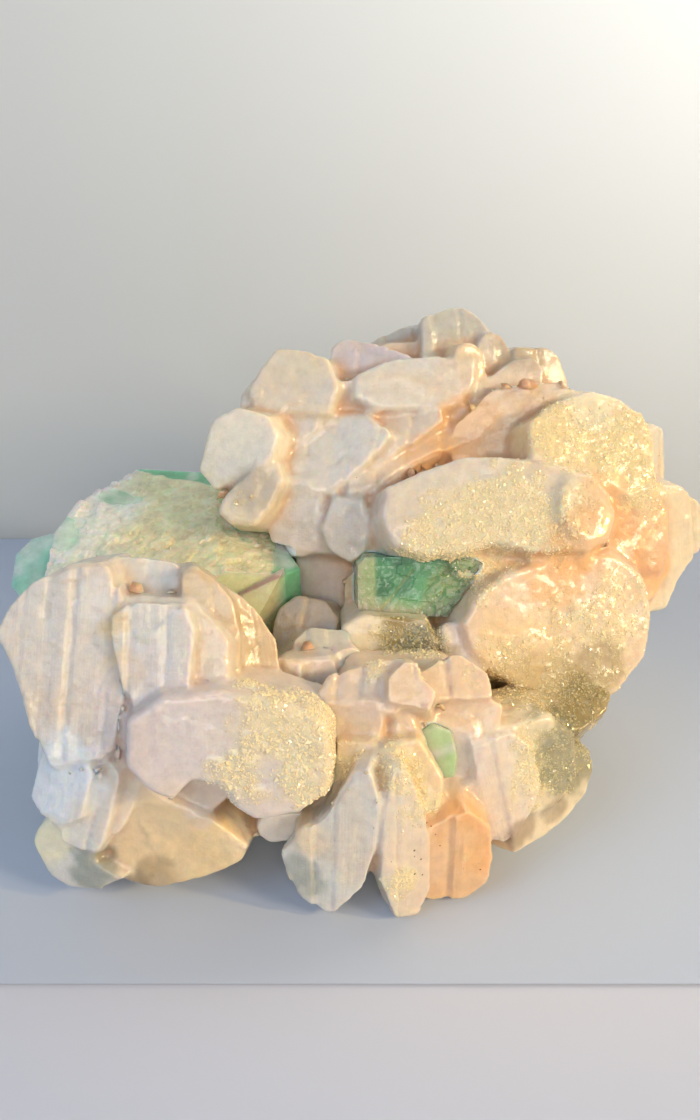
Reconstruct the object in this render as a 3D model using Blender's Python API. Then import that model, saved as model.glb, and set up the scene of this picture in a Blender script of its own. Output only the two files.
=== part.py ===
"""Green apophyllite crystals in a cluster of peach stilbite blades on a piece of basalt.

Metres, +Z up. The origin is the middle of the bounding box's foot, on the surface that the
specimen rests on, and the side that shows the green crystals looks along -Y. Tables are in millimetres.
"""

import math
import random
from collections import namedtuple

import bmesh
import bpy
from mathutils import Matrix, Vector

MM = 0.001
GAP = 0.35  # clear space around a crystal that sits in a socket
EDGE = 1.6  # how much a blade's edges are cut back
SEED = 11
CENTRE = (2.3, 0.0, 0.0)  # the middle of the whole specimen's footprint, as the tables measure it

# A tabular crystal: the middle of its body, how its broad face stands, its thickness and its outline
# in the plane of that face. Front is how much smaller the front face is than the back one.
Crystal = namedtuple("Crystal", "at stand thick outline front edge", defaults=(0.86, EDGE))

PEACH = (0.86, 0.60, 0.42)
PALE_PEACH = (0.86, 0.68, 0.54)
GREEN = (0.30, 0.55, 0.33)
MILKY_GREEN = (0.48, 0.64, 0.46)
BASALT = (0.19, 0.18, 0.16)


def clear_scene():
    for obj in list(bpy.data.objects):
        bpy.data.objects.remove(obj, do_unlink=True)


# Ways to stand a crystal

def faced(turn, lean, roll=0):
    """Broad face to -Y, turned to +X by turn, tipped back by lean, its length turned clockwise by roll."""
    upright = Matrix.Rotation(math.radians(90), 3, "X")
    turned = Matrix.Rotation(math.radians(turn), 3, "Z")
    leaned = Matrix.Rotation(math.radians(-lean), 3, "X")
    rolled = Matrix.Rotation(math.radians(-roll), 3, "Z")
    return turned @ leaned @ upright @ rolled


def grown(along, spin=0):
    """Length along the given direction, turned about it by spin."""
    up = Vector(along).normalized()
    side = up.cross(Vector((0.13, -1, 0.21))).normalized()
    standing = Matrix((side, up, side.cross(up))).transposed()
    return Matrix.Rotation(math.radians(spin), 3, up) @ standing


# Outlines, in the plane of the broad face: x across it, y along its length

def block(width, length, corner=0.28):
    """A rectangle whose corners are cut off."""
    x, y = width / 2, length / 2
    c = corner * min(width, length)
    right = [(x - c, -y), (x, c - y), (x, y - c), (x - c, y)]
    return right + [(-a, b) for a, b in reversed(right)]


def pointed(width, length, rise=0.35):
    """A blade with a roof-shaped tip."""
    x, y = width / 2, length / 2
    h = rise * width
    right = [(x * 0.8, -y), (x, h - y), (x, y - h), (x * 0.25, y)]
    return right + [(-a, b) for a, b in reversed(right)]


def disc(width, length, sides=12):
    """A rounded plate."""
    turns = [2 * math.pi * (i + 0.5) / sides for i in range(sides)]
    return [(math.cos(t) * width / 2, math.sin(t) * length / 2) for t in turns]


def solid(crystal, grow=0.0):
    """One closed body with flat faces, as a mesh object in place. Grow moves every face outwards."""
    bm = bmesh.new()
    half = crystal.thick / 2
    face = bm.faces.new([bm.verts.new((x, y, -half)) for x, y in crystal.outline])
    front = bmesh.ops.extrude_face_region(bm, geom=[face])["geom"]
    front = [v for v in front if isinstance(v, bmesh.types.BMVert)]
    for v in front:
        v.co.x *= crystal.front
        v.co.y *= crystal.front
        v.co.z = half
    bmesh.ops.recalc_face_normals(bm, faces=bm.faces)
    if crystal.edge:
        bmesh.ops.bevel(
            bm, geom=bm.edges[:], affect="EDGES", offset=crystal.edge, segments=1, profile=0.5,
            material=-1, clamp_overlap=True,
        )
    bmesh.ops.remove_doubles(bm, verts=bm.verts, dist=0.05)
    bm.normal_update()
    if grow:
        moved = [v.co + v.normal * v.calc_shell_factor() * grow for v in bm.verts]
        for v, co in zip(bm.verts, moved):
            v.co = co
    place = Matrix.Translation(Vector(crystal.at) - Vector(CENTRE)) @ crystal.stand.to_4x4()
    bm.transform(Matrix.Scale(MM, 4) @ place)
    mesh = bpy.data.meshes.new("crystal")
    bm.to_mesh(mesh)
    bm.free()
    obj = bpy.data.objects.new("crystal", mesh)
    bpy.context.scene.collection.objects.link(obj)
    return obj


def fuse(name, crystals, cut_by, colour, roughness):
    """Joins crystals that grew into each other in one body, and leaves a socket for each in cut_by."""
    body, *others = [solid(c) for c in crystals]
    sockets = [solid(c, grow=GAP) for c in cut_by]
    for operation, parts in (("UNION", others), ("DIFFERENCE", sockets)):
        if not parts:
            continue
        group = bpy.data.collections.new(name + operation)
        for part in parts:
            group.objects.link(part)
        boolean = body.modifiers.new(operation, "BOOLEAN")
        boolean.operation = operation
        boolean.operand_type = "COLLECTION"
        boolean.collection = group
    graph = bpy.context.evaluated_depsgraph_get()
    mesh = bpy.data.meshes.new_from_object(body.evaluated_get(graph))
    for part in [body, *others, *sockets]:
        bpy.data.objects.remove(part, do_unlink=True)
    keep_largest(mesh)
    mesh.name = name
    mesh.materials.clear()
    mesh.materials.append(material(name, colour, roughness))
    obj = bpy.data.objects.new(name, mesh)
    bpy.context.scene.collection.objects.link(obj)
    return obj


def keep_largest(mesh):
    """Drops the chips that a socket has cut loose."""
    bm = bmesh.new()
    bm.from_mesh(mesh)
    bmesh.ops.dissolve_degenerate(bm, edges=bm.edges, dist=0.02 * MM)
    left = set(bm.verts)
    groups = []
    while left:
        found = [left.pop()]
        for v in found:
            near = {e.other_vert(v) for e in v.link_edges} & left
            left -= near
            found.extend(near)
        groups.append(found)
    groups.sort(key=len)
    bmesh.ops.delete(bm, geom=[v for group in groups[:-1] for v in group], context="VERTS")
    bm.to_mesh(mesh)
    bm.free()


def material(name, colour, roughness):
    made = bpy.data.materials.new(name)
    made.use_nodes = True
    shader = made.node_tree.nodes["Principled BSDF"]
    shader.inputs["Base Color"].default_value = (*colour, 1)
    shader.inputs["Roughness"].default_value = roughness
    shader.inputs["Metallic"].default_value = 0.0
    return made


# The left sheaf: long blades side by side, with a sugary block lying across their foot

GREAT_BLADE = [
    (-14, 3), (-9, -5), (-4, -19), (1, -28), (14, -25), (16, -8), (15, 12), (10, 22), (2, 21),
    (-7, 16), (-12, 9),
]
LOBED_BLADE = [(-8, 2), (-6, -7), (-3, -16), (9, -14), (10, 3), (8, 9), (-4, 9), (-8, 6)]
GOLDEN_BLADE = [(-5, -18), (6, -18), (7, -5), (6, 4), (2, 10), (-2, 13), (-5, 12)]
EDGE_BLADE = [(-5, -16), (6, -14), (7, -4), (4, 4), (1, 9), (-5, 14)]
DRUSE_BLOCK = [
    (-26, -4), (-21, -10), (-12, -14), (-3, -14), (5, -18), (15, -16), (22, -11), (23, -3), (22, 5),
    (18, 9), (9, 12), (-3, 14), (-17, 13), (-25, 7),
]
PEACH_FOOT = [
    (-16, 6), (-16, -3), (-13, -11), (-4, -13), (9, -9), (18, -4), (20, 1), (7, 7), (-6, 13),
    (-13, 13),
]
ROUND_FOOT = [(-10, 0), (-6, -9), (0, -12), (9, -11), (17, -6), (9, -2), (7, 12), (0, 12), (-6, 8), (-9, 4)]
LEFT_CLUSTER = [
    Crystal((-61, -40, 54), faced(-8, 30), 15, GREAT_BLADE),
    Crystal((-45, -29, 65), faced(-4, 38), 12, [(-10, -12), (9, -12), (10, -1), (8, 4), (-5, 5), (-10, 0)]),
    Crystal((-41, -43, 58), faced(-4, 30), 13, LOBED_BLADE),
    Crystal((-31, -37, 60), faced(10, 30), 12, GOLDEN_BLADE),
    Crystal((-24, -35, 55), faced(22, 30), 10, EDGE_BLADE),
    Crystal((-24, -52, 40), faced(2, 18), 18, DRUSE_BLOCK, 0.84, 2.4),
    Crystal((-38, -48, 14), faced(-4, 8), 22, PEACH_FOOT, 0.84, 2),
    Crystal((-60, -50, 12.9), faced(-14, 8), 18, ROUND_FOOT, 0.8, 2),
    Crystal((-59, -48, 28), faced(-20, 20), 14, [(-6, 5), (-8, -8), (0, -12), (8, -8), (8, 6), (2, 9)]),
    Crystal((-46, -34, 38), faced(0, 14), 26, block(32, 42, 0.3)),
    Crystal((-14, -51, 18), faced(0, 10, 84), 12, block(8, 14, 0.3)),
]

# The big cluster at the back right

DRUSE_SLAB = [
    (-31, -3), (-28, -11), (-20, -14), (-9, -13), (0, -11), (11, -14), (25, -14), (31, -3), (28, 6),
    (18, 10), (5, 13), (-7, 13), (-20, 9), (-29, 5),
]
GOLD_BLOCK = [
    (-23, -3), (-6, -12), (5, -18), (13, -16), (15, -3), (13, 6), (7, 11), (-2, 14), (-12, 12),
    (-22, 7),
]
ROUND_PLATE = [
    (-25, -2), (-17, -11), (-8, -17), (4, -22), (16, -20), (25, -12), (29, 0), (27, 11), (19, 18),
    (3, 19), (-11, 17), (-21, 12), (-26, 5),
]
FLAKE = [(-14, -18), (-5, -19), (-1, -12), (6, -5), (11, 1), (9, 9), (3, 16), (-5, 18), (-14, 18)]
LEFT_SHINGLE = [(-11, -8), (-6, -12), (2, -12), (10, -2), (15, 7), (8, 12), (-2, 11), (-8, 4)]
MIDDLE_SHINGLE = [(-12, -15), (-4, -14), (6, -2), (15, 7), (13, 12), (0, 12), (-9, 9), (-11, 0)]
RIGHT_SHINGLE = [(-20, -17), (-13, -15), (-4, -7), (12, 2), (13, 8), (7, 12), (-3, 11), (-13, 1)]
BACK_CLUSTER = [
    Crystal((32, 20, 42), faced(180, 0), 52, disc(70, 66, 10), 0.6, 0),
    Crystal((8, 29, 75), faced(180, -12), 34, disc(52, 40, 9), 0.6, 0),
    Crystal((46, 26, 76), faced(180, -16), 34, disc(44, 34, 9), 0.6, 0),
    Crystal((47, -13, 44), faced(16, 24), 15, ROUND_PLATE, 0.88, 2),
    Crystal((33, 0, 68), faced(4, 38), 22, DRUSE_SLAB, 0.86, 2.6),
    Crystal((59, 14, 79), faced(16, 36), 22, GOLD_BLOCK, 0.86, 2.2),
    Crystal(
        (67, 6, 62), faced(22, 24), 18,
        [(-10, -9), (6, -15), (10, -4), (11, 3), (6, 9), (-5, 10), (-13, 3)],
    ),
    Crystal((74, 16, 73), faced(58, 8), 8, block(16, 26)),
    Crystal((80, 8, 57), faced(30, 14), 11, FLAKE),
    Crystal(
        (25, 36, 102), faced(12, 30), 14,
        [(-9, -15), (9, -15), (10, -1), (7, 4), (3, 7), (-2, 6), (-8, 4)],
    ),
    Crystal((11, 42, 98), faced(-10, 24), 9, [(-9, -10), (8, -10), (8, 6), (3, 5), (-3, 1), (-8, -3)]),
    Crystal(
        (35, 31, 99), faced(12, 24), 9,
        [(-4, -12), (4, -12), (5, 0), (3, 5), (-1, 6), (-4, 2)], 0.86, 1.2,
    ),
    Crystal((47, 35, 94), faced(16, 20), 16, [(-9, -14), (8, -14), (7, -4), (5, 2), (2, 5), (-8, 6)]),
    Crystal(
        (-12, 24, 94), faced(-12, 28), 17,
        [(-13, -6), (-10, -11), (11, -11), (13, -3), (9, 5), (1, 7), (-6, 7), (-10, 1)],
    ),
    Crystal((5, 30, 97), faced(-8, 34), 12, [(-7, -12), (9, -10), (12, 0), (4, 3), (-6, 5), (-10, 2)]),
    Crystal(
        (16, 22, 93), faced(4, 30), 14,
        [(-18, -4), (-12, -8), (10, -8), (16, -2), (17, 6), (4, 7), (-7, 6), (-17, 2)],
    ),
    Crystal((28, 24, 96), faced(20, 24), 12, block(9, 15)),
    Crystal(
        (39, 24, 91), faced(10, 30), 12,
        [(-12, -4), (-8, -8), (1, -6), (9, -1), (11, 4), (8, 8), (2, 8), (-10, 0)],
    ),
    Crystal((-3, 13, 77), faced(-16, 38), 10, LEFT_SHINGLE),
    Crystal((9, 14, 80), faced(-12, 42), 9, MIDDLE_SHINGLE),
    Crystal((20, 13, 79), faced(-8, 46), 9, RIGHT_SHINGLE),
    Crystal(
        (-24, 14, 79), faced(-22, 24), 20,
        [(-11, -8), (-5, -13), (3, -8), (11, -3), (12, 5), (8, 10), (-2, 11), (-9, 6)],
    ),
    Crystal((-11, 19, 82), faced(-10, 30), 13, [(-8, -8), (3, -10), (8, -2), (7, 6), (-3, 7), (-8, 4)]),
    Crystal(
        (-23, 4, 71), faced(-10, 30), 12,
        [(-9, -6), (-5, -9), (2, -9), (6, -4), (9, 4), (7, 9), (2, 8), (-7, -1)],
    ),
    Crystal((-12, 8, 64), faced(-10, 20), 16, block(14, 22)),
    Crystal((0, 1, 63), faced(-12, 24), 12, [(-7, 0), (-4, -6), (2, -9), (6, -6), (7, 1), (4, 9), (-4, 9)]),
    Crystal((-6, 6, 49), faced(-8, 10), 12, [(-8, -10), (8, -12), (8, 0), (6, 8), (1, 10), (-7, 8)]),
    Crystal(
        (9, -17, 42), faced(-2, 20), 18,
        [(-12, -7), (0, -9), (12, -8), (13, 2), (10, 8), (-7, 9), (-12, 6)],
    ),
    Crystal(
        (24, -19, 43), faced(10, 34), 12,
        [(-5, 0), (-2, -8), (6, -10), (9, -5), (6, 1), (2, 5), (-3, 5)],
    ),
]

# The front cluster: a low fan of blades and teeth around the smallest green crystal

SHELF = [(-18, -13), (-8, -12), (0, -10), (7, -6), (11, 1), (10, 8), (-2, 12), (-12, 14), (-19, 6)]
LEDGE = [(-14, -4), (4, -6), (14, -2), (17, 3), (10, 8), (-8, 8), (-15, 3)]
TOOTH = [(-9, 3), (-8, -4), (-5, -9), (1, -13), (4, -8), (8, -4), (9, 4), (6, 12), (1, 14), (-5, 8)]
PEG = [(-5, -8), (-2, -15), (3, -15), (5, -8), (5, 3), (3, 13), (0, 17), (-4, 13), (-5, 2)]
RIGHT_BLADE = [(-6, 13), (-6, -3), (-7, -11), (-2, -14), (4, -9), (8, -3), (8, 6), (4, 12)]
FRONT_CLUSTER = [
    Crystal((16, -33, 24), faced(0, 10), 34, disc(46, 38, 10), 0.84, 4),
    Crystal((4, -42, 48), faced(-10, 40), 9, [(-11, -8), (8, -9), (10, 0), (9, 5), (2, 4), (-8, -1)]),
    Crystal(
        (12, -45, 49), faced(0, 36), 9,
        [(-5, -6), (5, -8), (7, -3), (3, 1), (2, 5), (-1, 5), (-5, 1)], 0.8, 1.2,
    ),
    Crystal(
        (22, -38, 45), faced(10, 46), 10,
        [(-8, -1), (-6, -6), (8, -7), (8, -1), (2, 5), (-1, 5), (-6, 2)],
    ),
    Crystal(
        (23, -41, 38), faced(6, 28), 10,
        [(-11, 0), (-8, -4), (6, -5), (10, -3), (11, 2), (7, 4), (-3, 5), (-9, 3)],
    ),
    Crystal(
        (2, -46, 41), faced(-12, 20), 10,
        [(-9, 3), (-6, -3), (-4, -9), (3, -8), (7, -1), (6, 6), (-3, 5)],
    ),
    Crystal((11, -47, 41), faced(6, 24), 7, [(-3, -3), (1, -7), (6, -6), (1, 4), (-2, 4)], 0.8, 1),
    Crystal((2, -51, 32), faced(-10, 20), 11, [(-6, -9), (0, -8), (6, 1), (4, 8), (-5, 7)]),
    Crystal(
        (11, -51, 34), faced(0, 22), 12,
        [(-8, 0), (-1, -6), (3, -12), (9, -11), (10, -4), (7, 1), (4, 6), (-4, 5)],
    ),
    Crystal((32, -44, 23), faced(18, 16), 14, RIGHT_BLADE),
    Crystal(
        (19, -47, 19), faced(6, 10), 14,
        [(-7, 6), (-8, -5), (-4, -9), (2, -8), (7, -2), (7, 5), (1, 8)],
    ),
    Crystal((44, -34, 16), faced(32, 12), 20, SHELF, 0.86, 2.2),
    Crystal((48, -28, 26), faced(20, 56), 12, LEDGE),
    Crystal(
        (21, -54, 8), faced(6, -4), 12,
        [(-7, -5), (-3, -8), (4, -8), (8, -1), (8, 5), (3, 9), (-5, 8), (-7, 4)],
    ),
    Crystal((10, -60, 15.5), faced(6, 0), 9, PEG, 0.94),
    Crystal((-4, -58, 13.5), faced(-12, 0), 12, TOOTH, 0.94),
    Crystal((-8, -58, 20), faced(0, 10), 9, disc(9, 8, 8)),
    Crystal((5, -49, 16), faced(0, 4), 8, block(12, 26)),
]

# Small blades down in the pocket between the clusters

POCKET_BLADES = [
    Crystal((-7, -22, 28), faced(0, 12), 26, block(26, 34)),
    Crystal((-7, -31, 42), faced(8, 20), 9, [(-5, 5), (-5, -10), (3, -10), (5, -2), (3, 5)], 0.9),
    Crystal((-14, -33, 43), faced(-8, 24), 9, [(-4, 3), (-5, -10), (4, -10), (4, 4), (-1, 5)], 0.9),
    Crystal((-6, -22, 45), faced(4, 42), 9, [(-8, -1), (-6, -8), (6, -8), (6, 2), (-4, 3)], 0.9),
    Crystal((-1, -28, 39), faced(20, 20), 9, block(9, 18)),
]

# The green crystals

TOP_FACE = [
    (-33, 10), (-36, -2), (-34, -24), (-20, -27), (10, -22), (22, -15), (26, -11), (20, 1), (6, 18),
    (0, 25), (-19, 27),
]
APOPHYLLITE_LARGE = [
    Crystal((-38, 9, 44), faced(0, 79), 36, TOP_FACE, 0.99, 1.2),
    Crystal(
        (-74, 5, 43), faced(-20, 62), 24,
        [(-11, 2), (-7, -8), (2, -14), (12, -10), (12, 12), (-2, 12), (-9, 8)], 0.9, 1.2,
    ),
]
MIDDLE_FACE = [(-15, -6), (-2, -8), (7, -8), (12, -1), (16, 5), (12, 7), (-13, 7), (-15, 5)]
APOPHYLLITE_MIDDLE = [Crystal((16, -8, 54), faced(2, 18), 15, MIDDLE_FACE, 0.96, 0.7)]
SMALL_FACE = [(-5, 5), (-1, -1), (0, -6), (4, -6), (5, -1), (4, 5), (0, 7)]
APOPHYLLITE_SMALL = [Crystal((18, -48, 33), faced(10, 28), 9, SMALL_FACE, 0.9, 0.6)]

# The basalt that everything grew on

BASE_THICK = 20
FOOTPRINT = [
    (-42, -26), (-26, -30), (-8, -34), (20, -40), (44, -30), (56, -6), (50, 24), (34, 44), (8, 52),
    (-22, 50), (-48, 36), (-58, 10), (-54, -14),
]
HILL = [(-40, -16), (34, -18), (42, 4), (28, 20), (-4, 25), (-34, 20), (-46, 2)]
LEFT_HILL = [(-24, -18), (14, -20), (24, 0), (14, 20), (-12, 22), (-28, 4)]
NEAR_HILL = [(-26, -14), (22, -18), (28, 6), (6, 18), (-24, 14)]
BASALT_BASE = [
    Crystal((0, 0, BASE_THICK / 2), faced(0, 90), BASE_THICK, FOOTPRINT, 0.92, 2.4),
    Crystal((12, 34, 24), faced(0, 86), 42, HILL, 0.74, 3),
    Crystal((-34, 18, 20), faced(-6, 88), 32, LEFT_HILL, 0.8, 3),
    Crystal((-22, -8, 18), faced(4, 94), 26, NEAR_HILL, 0.8, 3),
]


def radiating(count, core, reach, size, azimuths, rises, spin, seed):
    """A ring of blades that point away from a core, for the sides that the front view doesn't show."""
    rng = random.Random(seed)
    made = []
    for i in range(count):
        share = (i + rng.uniform(0.3, 0.7)) / count
        azimuth = math.radians(azimuths[0] + (azimuths[1] - azimuths[0]) * share)
        rise = math.radians(rng.uniform(*rises))
        level = Vector((math.sin(azimuth), math.cos(azimuth), 0))
        along = level * math.cos(rise) + Vector((0, 0, math.sin(rise)))
        width, length, thick = (side * rng.uniform(0.85, 1.2) for side in size)
        tip = Vector(core) + Vector(a * r for a, r in zip(along, reach))
        outline = rng.choice((block, pointed))(width, length)
        place = tuple(tip - along * length / 2)
        made.append(Crystal(place, grown(along, rng.uniform(*spin)), thick, outline, 0.86, 1.4))
    return made


BACK_BLADES = (
    radiating(7, (26, 18, 50), (50, 45, 54), (24, 34, 13), (-80, 74), (46, 58), (-10, 20), SEED)
    + radiating(8, (24, 18, 50), (52, 47, 50), (27, 35, 15), (-92, 86), (16, 30), (50, 80), SEED + 1)
    + radiating(6, (28, 16, 46), (47, 48, 42), (27, 33, 16), (-40, 96), (-8, 4), (0, 40), SEED + 2)
    + radiating(3, (28, 12, 40), (44, 44, 38), (24, 30, 15), (56, 126), (-28, -18), (40, 90), SEED + 3)
)


def main():
    clear_scene()
    greens = APOPHYLLITE_LARGE + APOPHYLLITE_MIDDLE + APOPHYLLITE_SMALL
    left, front, back = LEFT_CLUSTER, FRONT_CLUSTER, BACK_CLUSTER + BACK_BLADES
    fuse("apophyllite_large", APOPHYLLITE_LARGE, [], MILKY_GREEN, 0.35)
    fuse("apophyllite_middle", APOPHYLLITE_MIDDLE, [], GREEN, 0.2)
    fuse("apophyllite_small", APOPHYLLITE_SMALL, [], MILKY_GREEN, 0.3)
    fuse("stilbite_left_cluster", left, greens, PALE_PEACH, 0.45)
    fuse("stilbite_front_cluster", front, greens + left, PEACH, 0.45)
    fuse("stilbite_back_cluster", back, greens + left + front, PEACH, 0.45)
    fuse("stilbite_pocket_blades", POCKET_BLADES, greens + left + front + back, PALE_PEACH, 0.45)
    fuse("basalt_base", BASALT_BASE, greens + left + front + back + POCKET_BLADES, BASALT, 0.8)


main()
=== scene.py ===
"""The finished look of an apophyllite specimen: green crystals among sheaves of peach stilbite on basalt.

Lengths are millimetres in the tables and metres in the meshes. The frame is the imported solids' own.
"""

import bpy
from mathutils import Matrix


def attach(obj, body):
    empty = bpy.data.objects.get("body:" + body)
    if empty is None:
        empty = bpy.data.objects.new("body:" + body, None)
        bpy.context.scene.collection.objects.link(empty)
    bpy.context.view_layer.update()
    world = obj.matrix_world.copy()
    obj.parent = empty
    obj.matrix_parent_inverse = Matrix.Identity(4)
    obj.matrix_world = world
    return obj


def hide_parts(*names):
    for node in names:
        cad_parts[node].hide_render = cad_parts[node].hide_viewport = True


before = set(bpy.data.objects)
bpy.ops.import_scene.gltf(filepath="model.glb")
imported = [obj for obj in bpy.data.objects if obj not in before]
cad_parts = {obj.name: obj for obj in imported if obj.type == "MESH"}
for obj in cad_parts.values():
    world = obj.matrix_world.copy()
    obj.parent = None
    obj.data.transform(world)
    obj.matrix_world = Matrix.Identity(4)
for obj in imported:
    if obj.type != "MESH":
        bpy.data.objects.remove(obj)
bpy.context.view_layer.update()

import itertools
import math
import random
from collections import namedtuple

import bmesh
import bpy
import numpy as np
from mathutils import Matrix, Vector

# Basalt
# The rock that the crystals grew on: a broken piece of dark, matt lava, rough all over, with its
# foot sawn flat so that the specimen stands.

MM = 0.001
EDGE = 0.8  # how much of a crystal's edge is cut off, if the table doesn't say
CENTRE = Vector((2.3, 0.0, 0.0))  # the middle of the footprint, as the tables measure it

# One crystal or lump: the middle of its body, how its broad face stands, its thickness, its outline,
# its colour, how strongly its faces are ribbed, how much smaller its front is, and its edge's bevel.
Crystal = namedtuple(
    "Crystal", "at stand thick outline tint ribs front edge", defaults=(None, 0, 0.87, EDGE)
)


def faced(turn, lean, roll=0):
    """Broad face to -Y, turned to +X by turn, tipped back by lean, its length turned clockwise by roll."""
    turned = Matrix.Rotation(math.radians(turn), 3, "Z")
    leaned = Matrix.Rotation(math.radians(90 - lean), 3, "X")
    rolled = Matrix.Rotation(math.radians(-roll), 3, "Z")
    return turned @ leaned @ rolled


def placing(crystal):
    """Takes the crystal's own directions, in mm, to its place in the frame."""
    place = Matrix.Translation(Vector(crystal.at) - CENTRE) @ crystal.stand.to_4x4()
    return Matrix.Scale(MM, 4) @ place


def add_body(bm, crystal, grow=0.0):
    """Adds one closed body with flat faces and cut edges to the bmesh, in place."""
    half = crystal.thick / 2
    old = set(bm.verts)
    face = bm.faces.new([bm.verts.new((x, y, -half)) for x, y in crystal.outline])
    for v in bmesh.ops.extrude_face_region(bm, geom=[face])["geom"]:
        if isinstance(v, bmesh.types.BMVert):
            v.co = (v.co.x * crystal.front, v.co.y * crystal.front, half)
    new = [v for v in bm.verts if v not in old]
    faces = list(dict.fromkeys(f for v in new for f in v.link_faces))
    bmesh.ops.recalc_face_normals(bm, faces=faces)
    if crystal.edge:
        edges = list(dict.fromkeys(e for v in new for e in v.link_edges))
        bmesh.ops.bevel(
            bm, geom=edges, affect="EDGES", offset=crystal.edge, segments=1, profile=0.5,
            material=-1, clamp_overlap=True,
        )
    new = [v for v in bm.verts if v not in old]
    if grow:
        bm.normal_update()
        moved = [v.co + v.normal * v.calc_shell_factor() * grow for v in new]
        for v, co in zip(new, moved):
            v.co = co
    bmesh.ops.transform(bm, matrix=placing(crystal), verts=new)


def new_object(name, data):
    obj = bpy.data.objects.new(name, data)
    bpy.context.scene.collection.objects.link(obj)
    return obj


def mesh_object(name, bm):
    mesh = bpy.data.meshes.new(name)
    bm.to_mesh(mesh)
    bm.free()
    return new_object(name, mesh)


def apply_modifiers(obj):
    """Replaces the object's mesh by what its modifiers make of it."""
    graph = bpy.context.evaluated_depsgraph_get()
    made = bpy.data.meshes.new_from_object(obj.evaluated_get(graph))
    obj.modifiers.clear()
    obj.data = made


def grown_together(name, crystals, cell, grow=0.0):
    """One closed skin over crystals that grew into each other."""
    bm = bmesh.new()
    for crystal in crystals:
        add_body(bm, crystal, grow)
    skin = mesh_object(name, bm)
    remesh = skin.modifiers.new("one_skin", "REMESH")
    remesh.mode = "VOXEL"
    remesh.voxel_size = cell * MM
    apply_modifiers(skin)
    return skin


def points_of(mesh, what="co"):
    """The mesh's points as the tables measure them, or the directions that they face."""
    found = np.empty(len(mesh.vertices) * 3)
    if what == "co":
        mesh.vertices.foreach_get("co", found)
        return found.reshape(-1, 3) / MM + np.array(CENTRE)
    mesh.vertex_normals.foreach_get("vector", found)
    return found.reshape(-1, 3)


def move_points(mesh, points):
    mesh.vertices.foreach_set("co", ((points - np.array(CENTRE)) * MM).ravel())
    mesh.update()


def scatter(cell, seed):
    """A repeatable number from 0 to 1 for each cell of a lattice."""
    mixed = cell[:, 0] * 73856093 ^ cell[:, 1] * 19349663 ^ cell[:, 2] * 83492791 ^ seed * 2654435761
    mixed = (mixed ^ (mixed >> 13)) * 1274126177
    return ((mixed ^ (mixed >> 16)) & 0xFFFFF) / 0xFFFFF


def swells(points, size, seed):
    """Smooth relief from -1 to 1, with swells about size across."""
    at = points / size
    cell = np.floor(at).astype(np.int64)
    part = at - cell
    part = part * part * part * (part * (part * 6 - 15) + 10)
    total = np.zeros(len(points))
    for corner in itertools.product((0, 1), repeat=3):
        share = np.prod(np.where(corner, part, 1 - part), axis=1)
        total += share * scatter(cell + corner, seed)
    return total * 2 - 1


def lumps(points, size, seed):
    """Rounded lumps about size across: 1 on top of a lump and 0 where two meet."""
    at = points / size
    cell = np.floor(at).astype(np.int64)
    nearest = np.full(len(points), 9.0)
    for step in itertools.product((-1, 0, 1), repeat=3):
        near = cell + step
        spot = near + np.stack([scatter(near, seed + k) for k in (1, 2, 3)], axis=1)
        nearest = np.minimum(nearest, ((spot - at) ** 2).sum(axis=1))
    return np.clip(1 - np.sqrt(nearest) * 1.1, 0, 1)


def ramp(values, low, high):
    t = np.clip((values - low) / (high - low), 0, 1)
    return t * t * (3 - 2 * t)


def put_on(piece, material, node):
    piece.data.materials.clear()
    piece.data.materials.append(material)
    piece.data.shade_smooth()
    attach(piece, "root")
    if node:
        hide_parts(node)


def feed(tree, socket, value):
    """Sets a socket, or links it where the value is another node's output."""
    if isinstance(value, bpy.types.NodeSocket):
        tree.links.new(value, socket)
    else:
        socket.default_value = value


def new_material(name, **values):
    """A Principled material with the given sockets set, its node tree and its shader."""
    made = bpy.data.materials.new(name)
    made.use_nodes = True
    shader = made.node_tree.nodes["Principled BSDF"]
    for key, value in values.items():
        feed(made.node_tree, shader.inputs[key.replace("_", " ")], value)
    return made, made.node_tree, shader


def add_node(tree, kind, **values):
    """A shader node with the given properties set, and the given sockets set or linked."""
    node = tree.nodes.new("ShaderNode" + kind)
    for key, value in values.items():
        socket = node.inputs.get(key.replace("_", " "))
        if socket is None:
            setattr(node, key, value)
        else:
            feed(tree, socket, value)
    return node


def toned(tree, value, *stops):
    """A colour between the stops' colours, by where the value lies between their positions."""
    tones = add_node(tree, "ValToRGB", Fac=value)
    for element, (position, colour) in zip(tones.color_ramp.elements, stops):
        element.position = position
        element.color = (*colour, 1)
    return tones.outputs["Color"]


FOOTPRINT = [
    (-42, -26), (-26, -30), (-8, -34), (20, -40), (44, -30), (56, -6), (50, 24), (34, 44), (8, 52),
    (-22, 50), (-48, 36), (-58, 10), (-54, -14),
]
HILL = [(-40, -16), (34, -18), (42, 4), (28, 20), (-4, 25), (-34, 20), (-46, 2)]
LEFT_HILL = [(-24, -18), (14, -20), (24, 0), (14, 20), (-12, 22), (-28, 4)]
NEAR_HILL = [(-26, -14), (22, -18), (28, 6), (6, 18), (-24, 14)]
SLAB_THICK = 20
BASALT = [
    Crystal((0, 0, SLAB_THICK / 2), faced(0, 90), SLAB_THICK, FOOTPRINT, front=0.92, edge=2.4),
    Crystal((12, 34, 24), faced(0, 86), 42, HILL, front=0.74, edge=3),
    Crystal((-34, 18, 20), faced(-6, 88), 32, LEFT_HILL, front=0.8, edge=3),
    Crystal((-22, -8, 18), faced(4, 94), 26, NEAR_HILL, front=0.8, edge=3),
]


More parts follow.
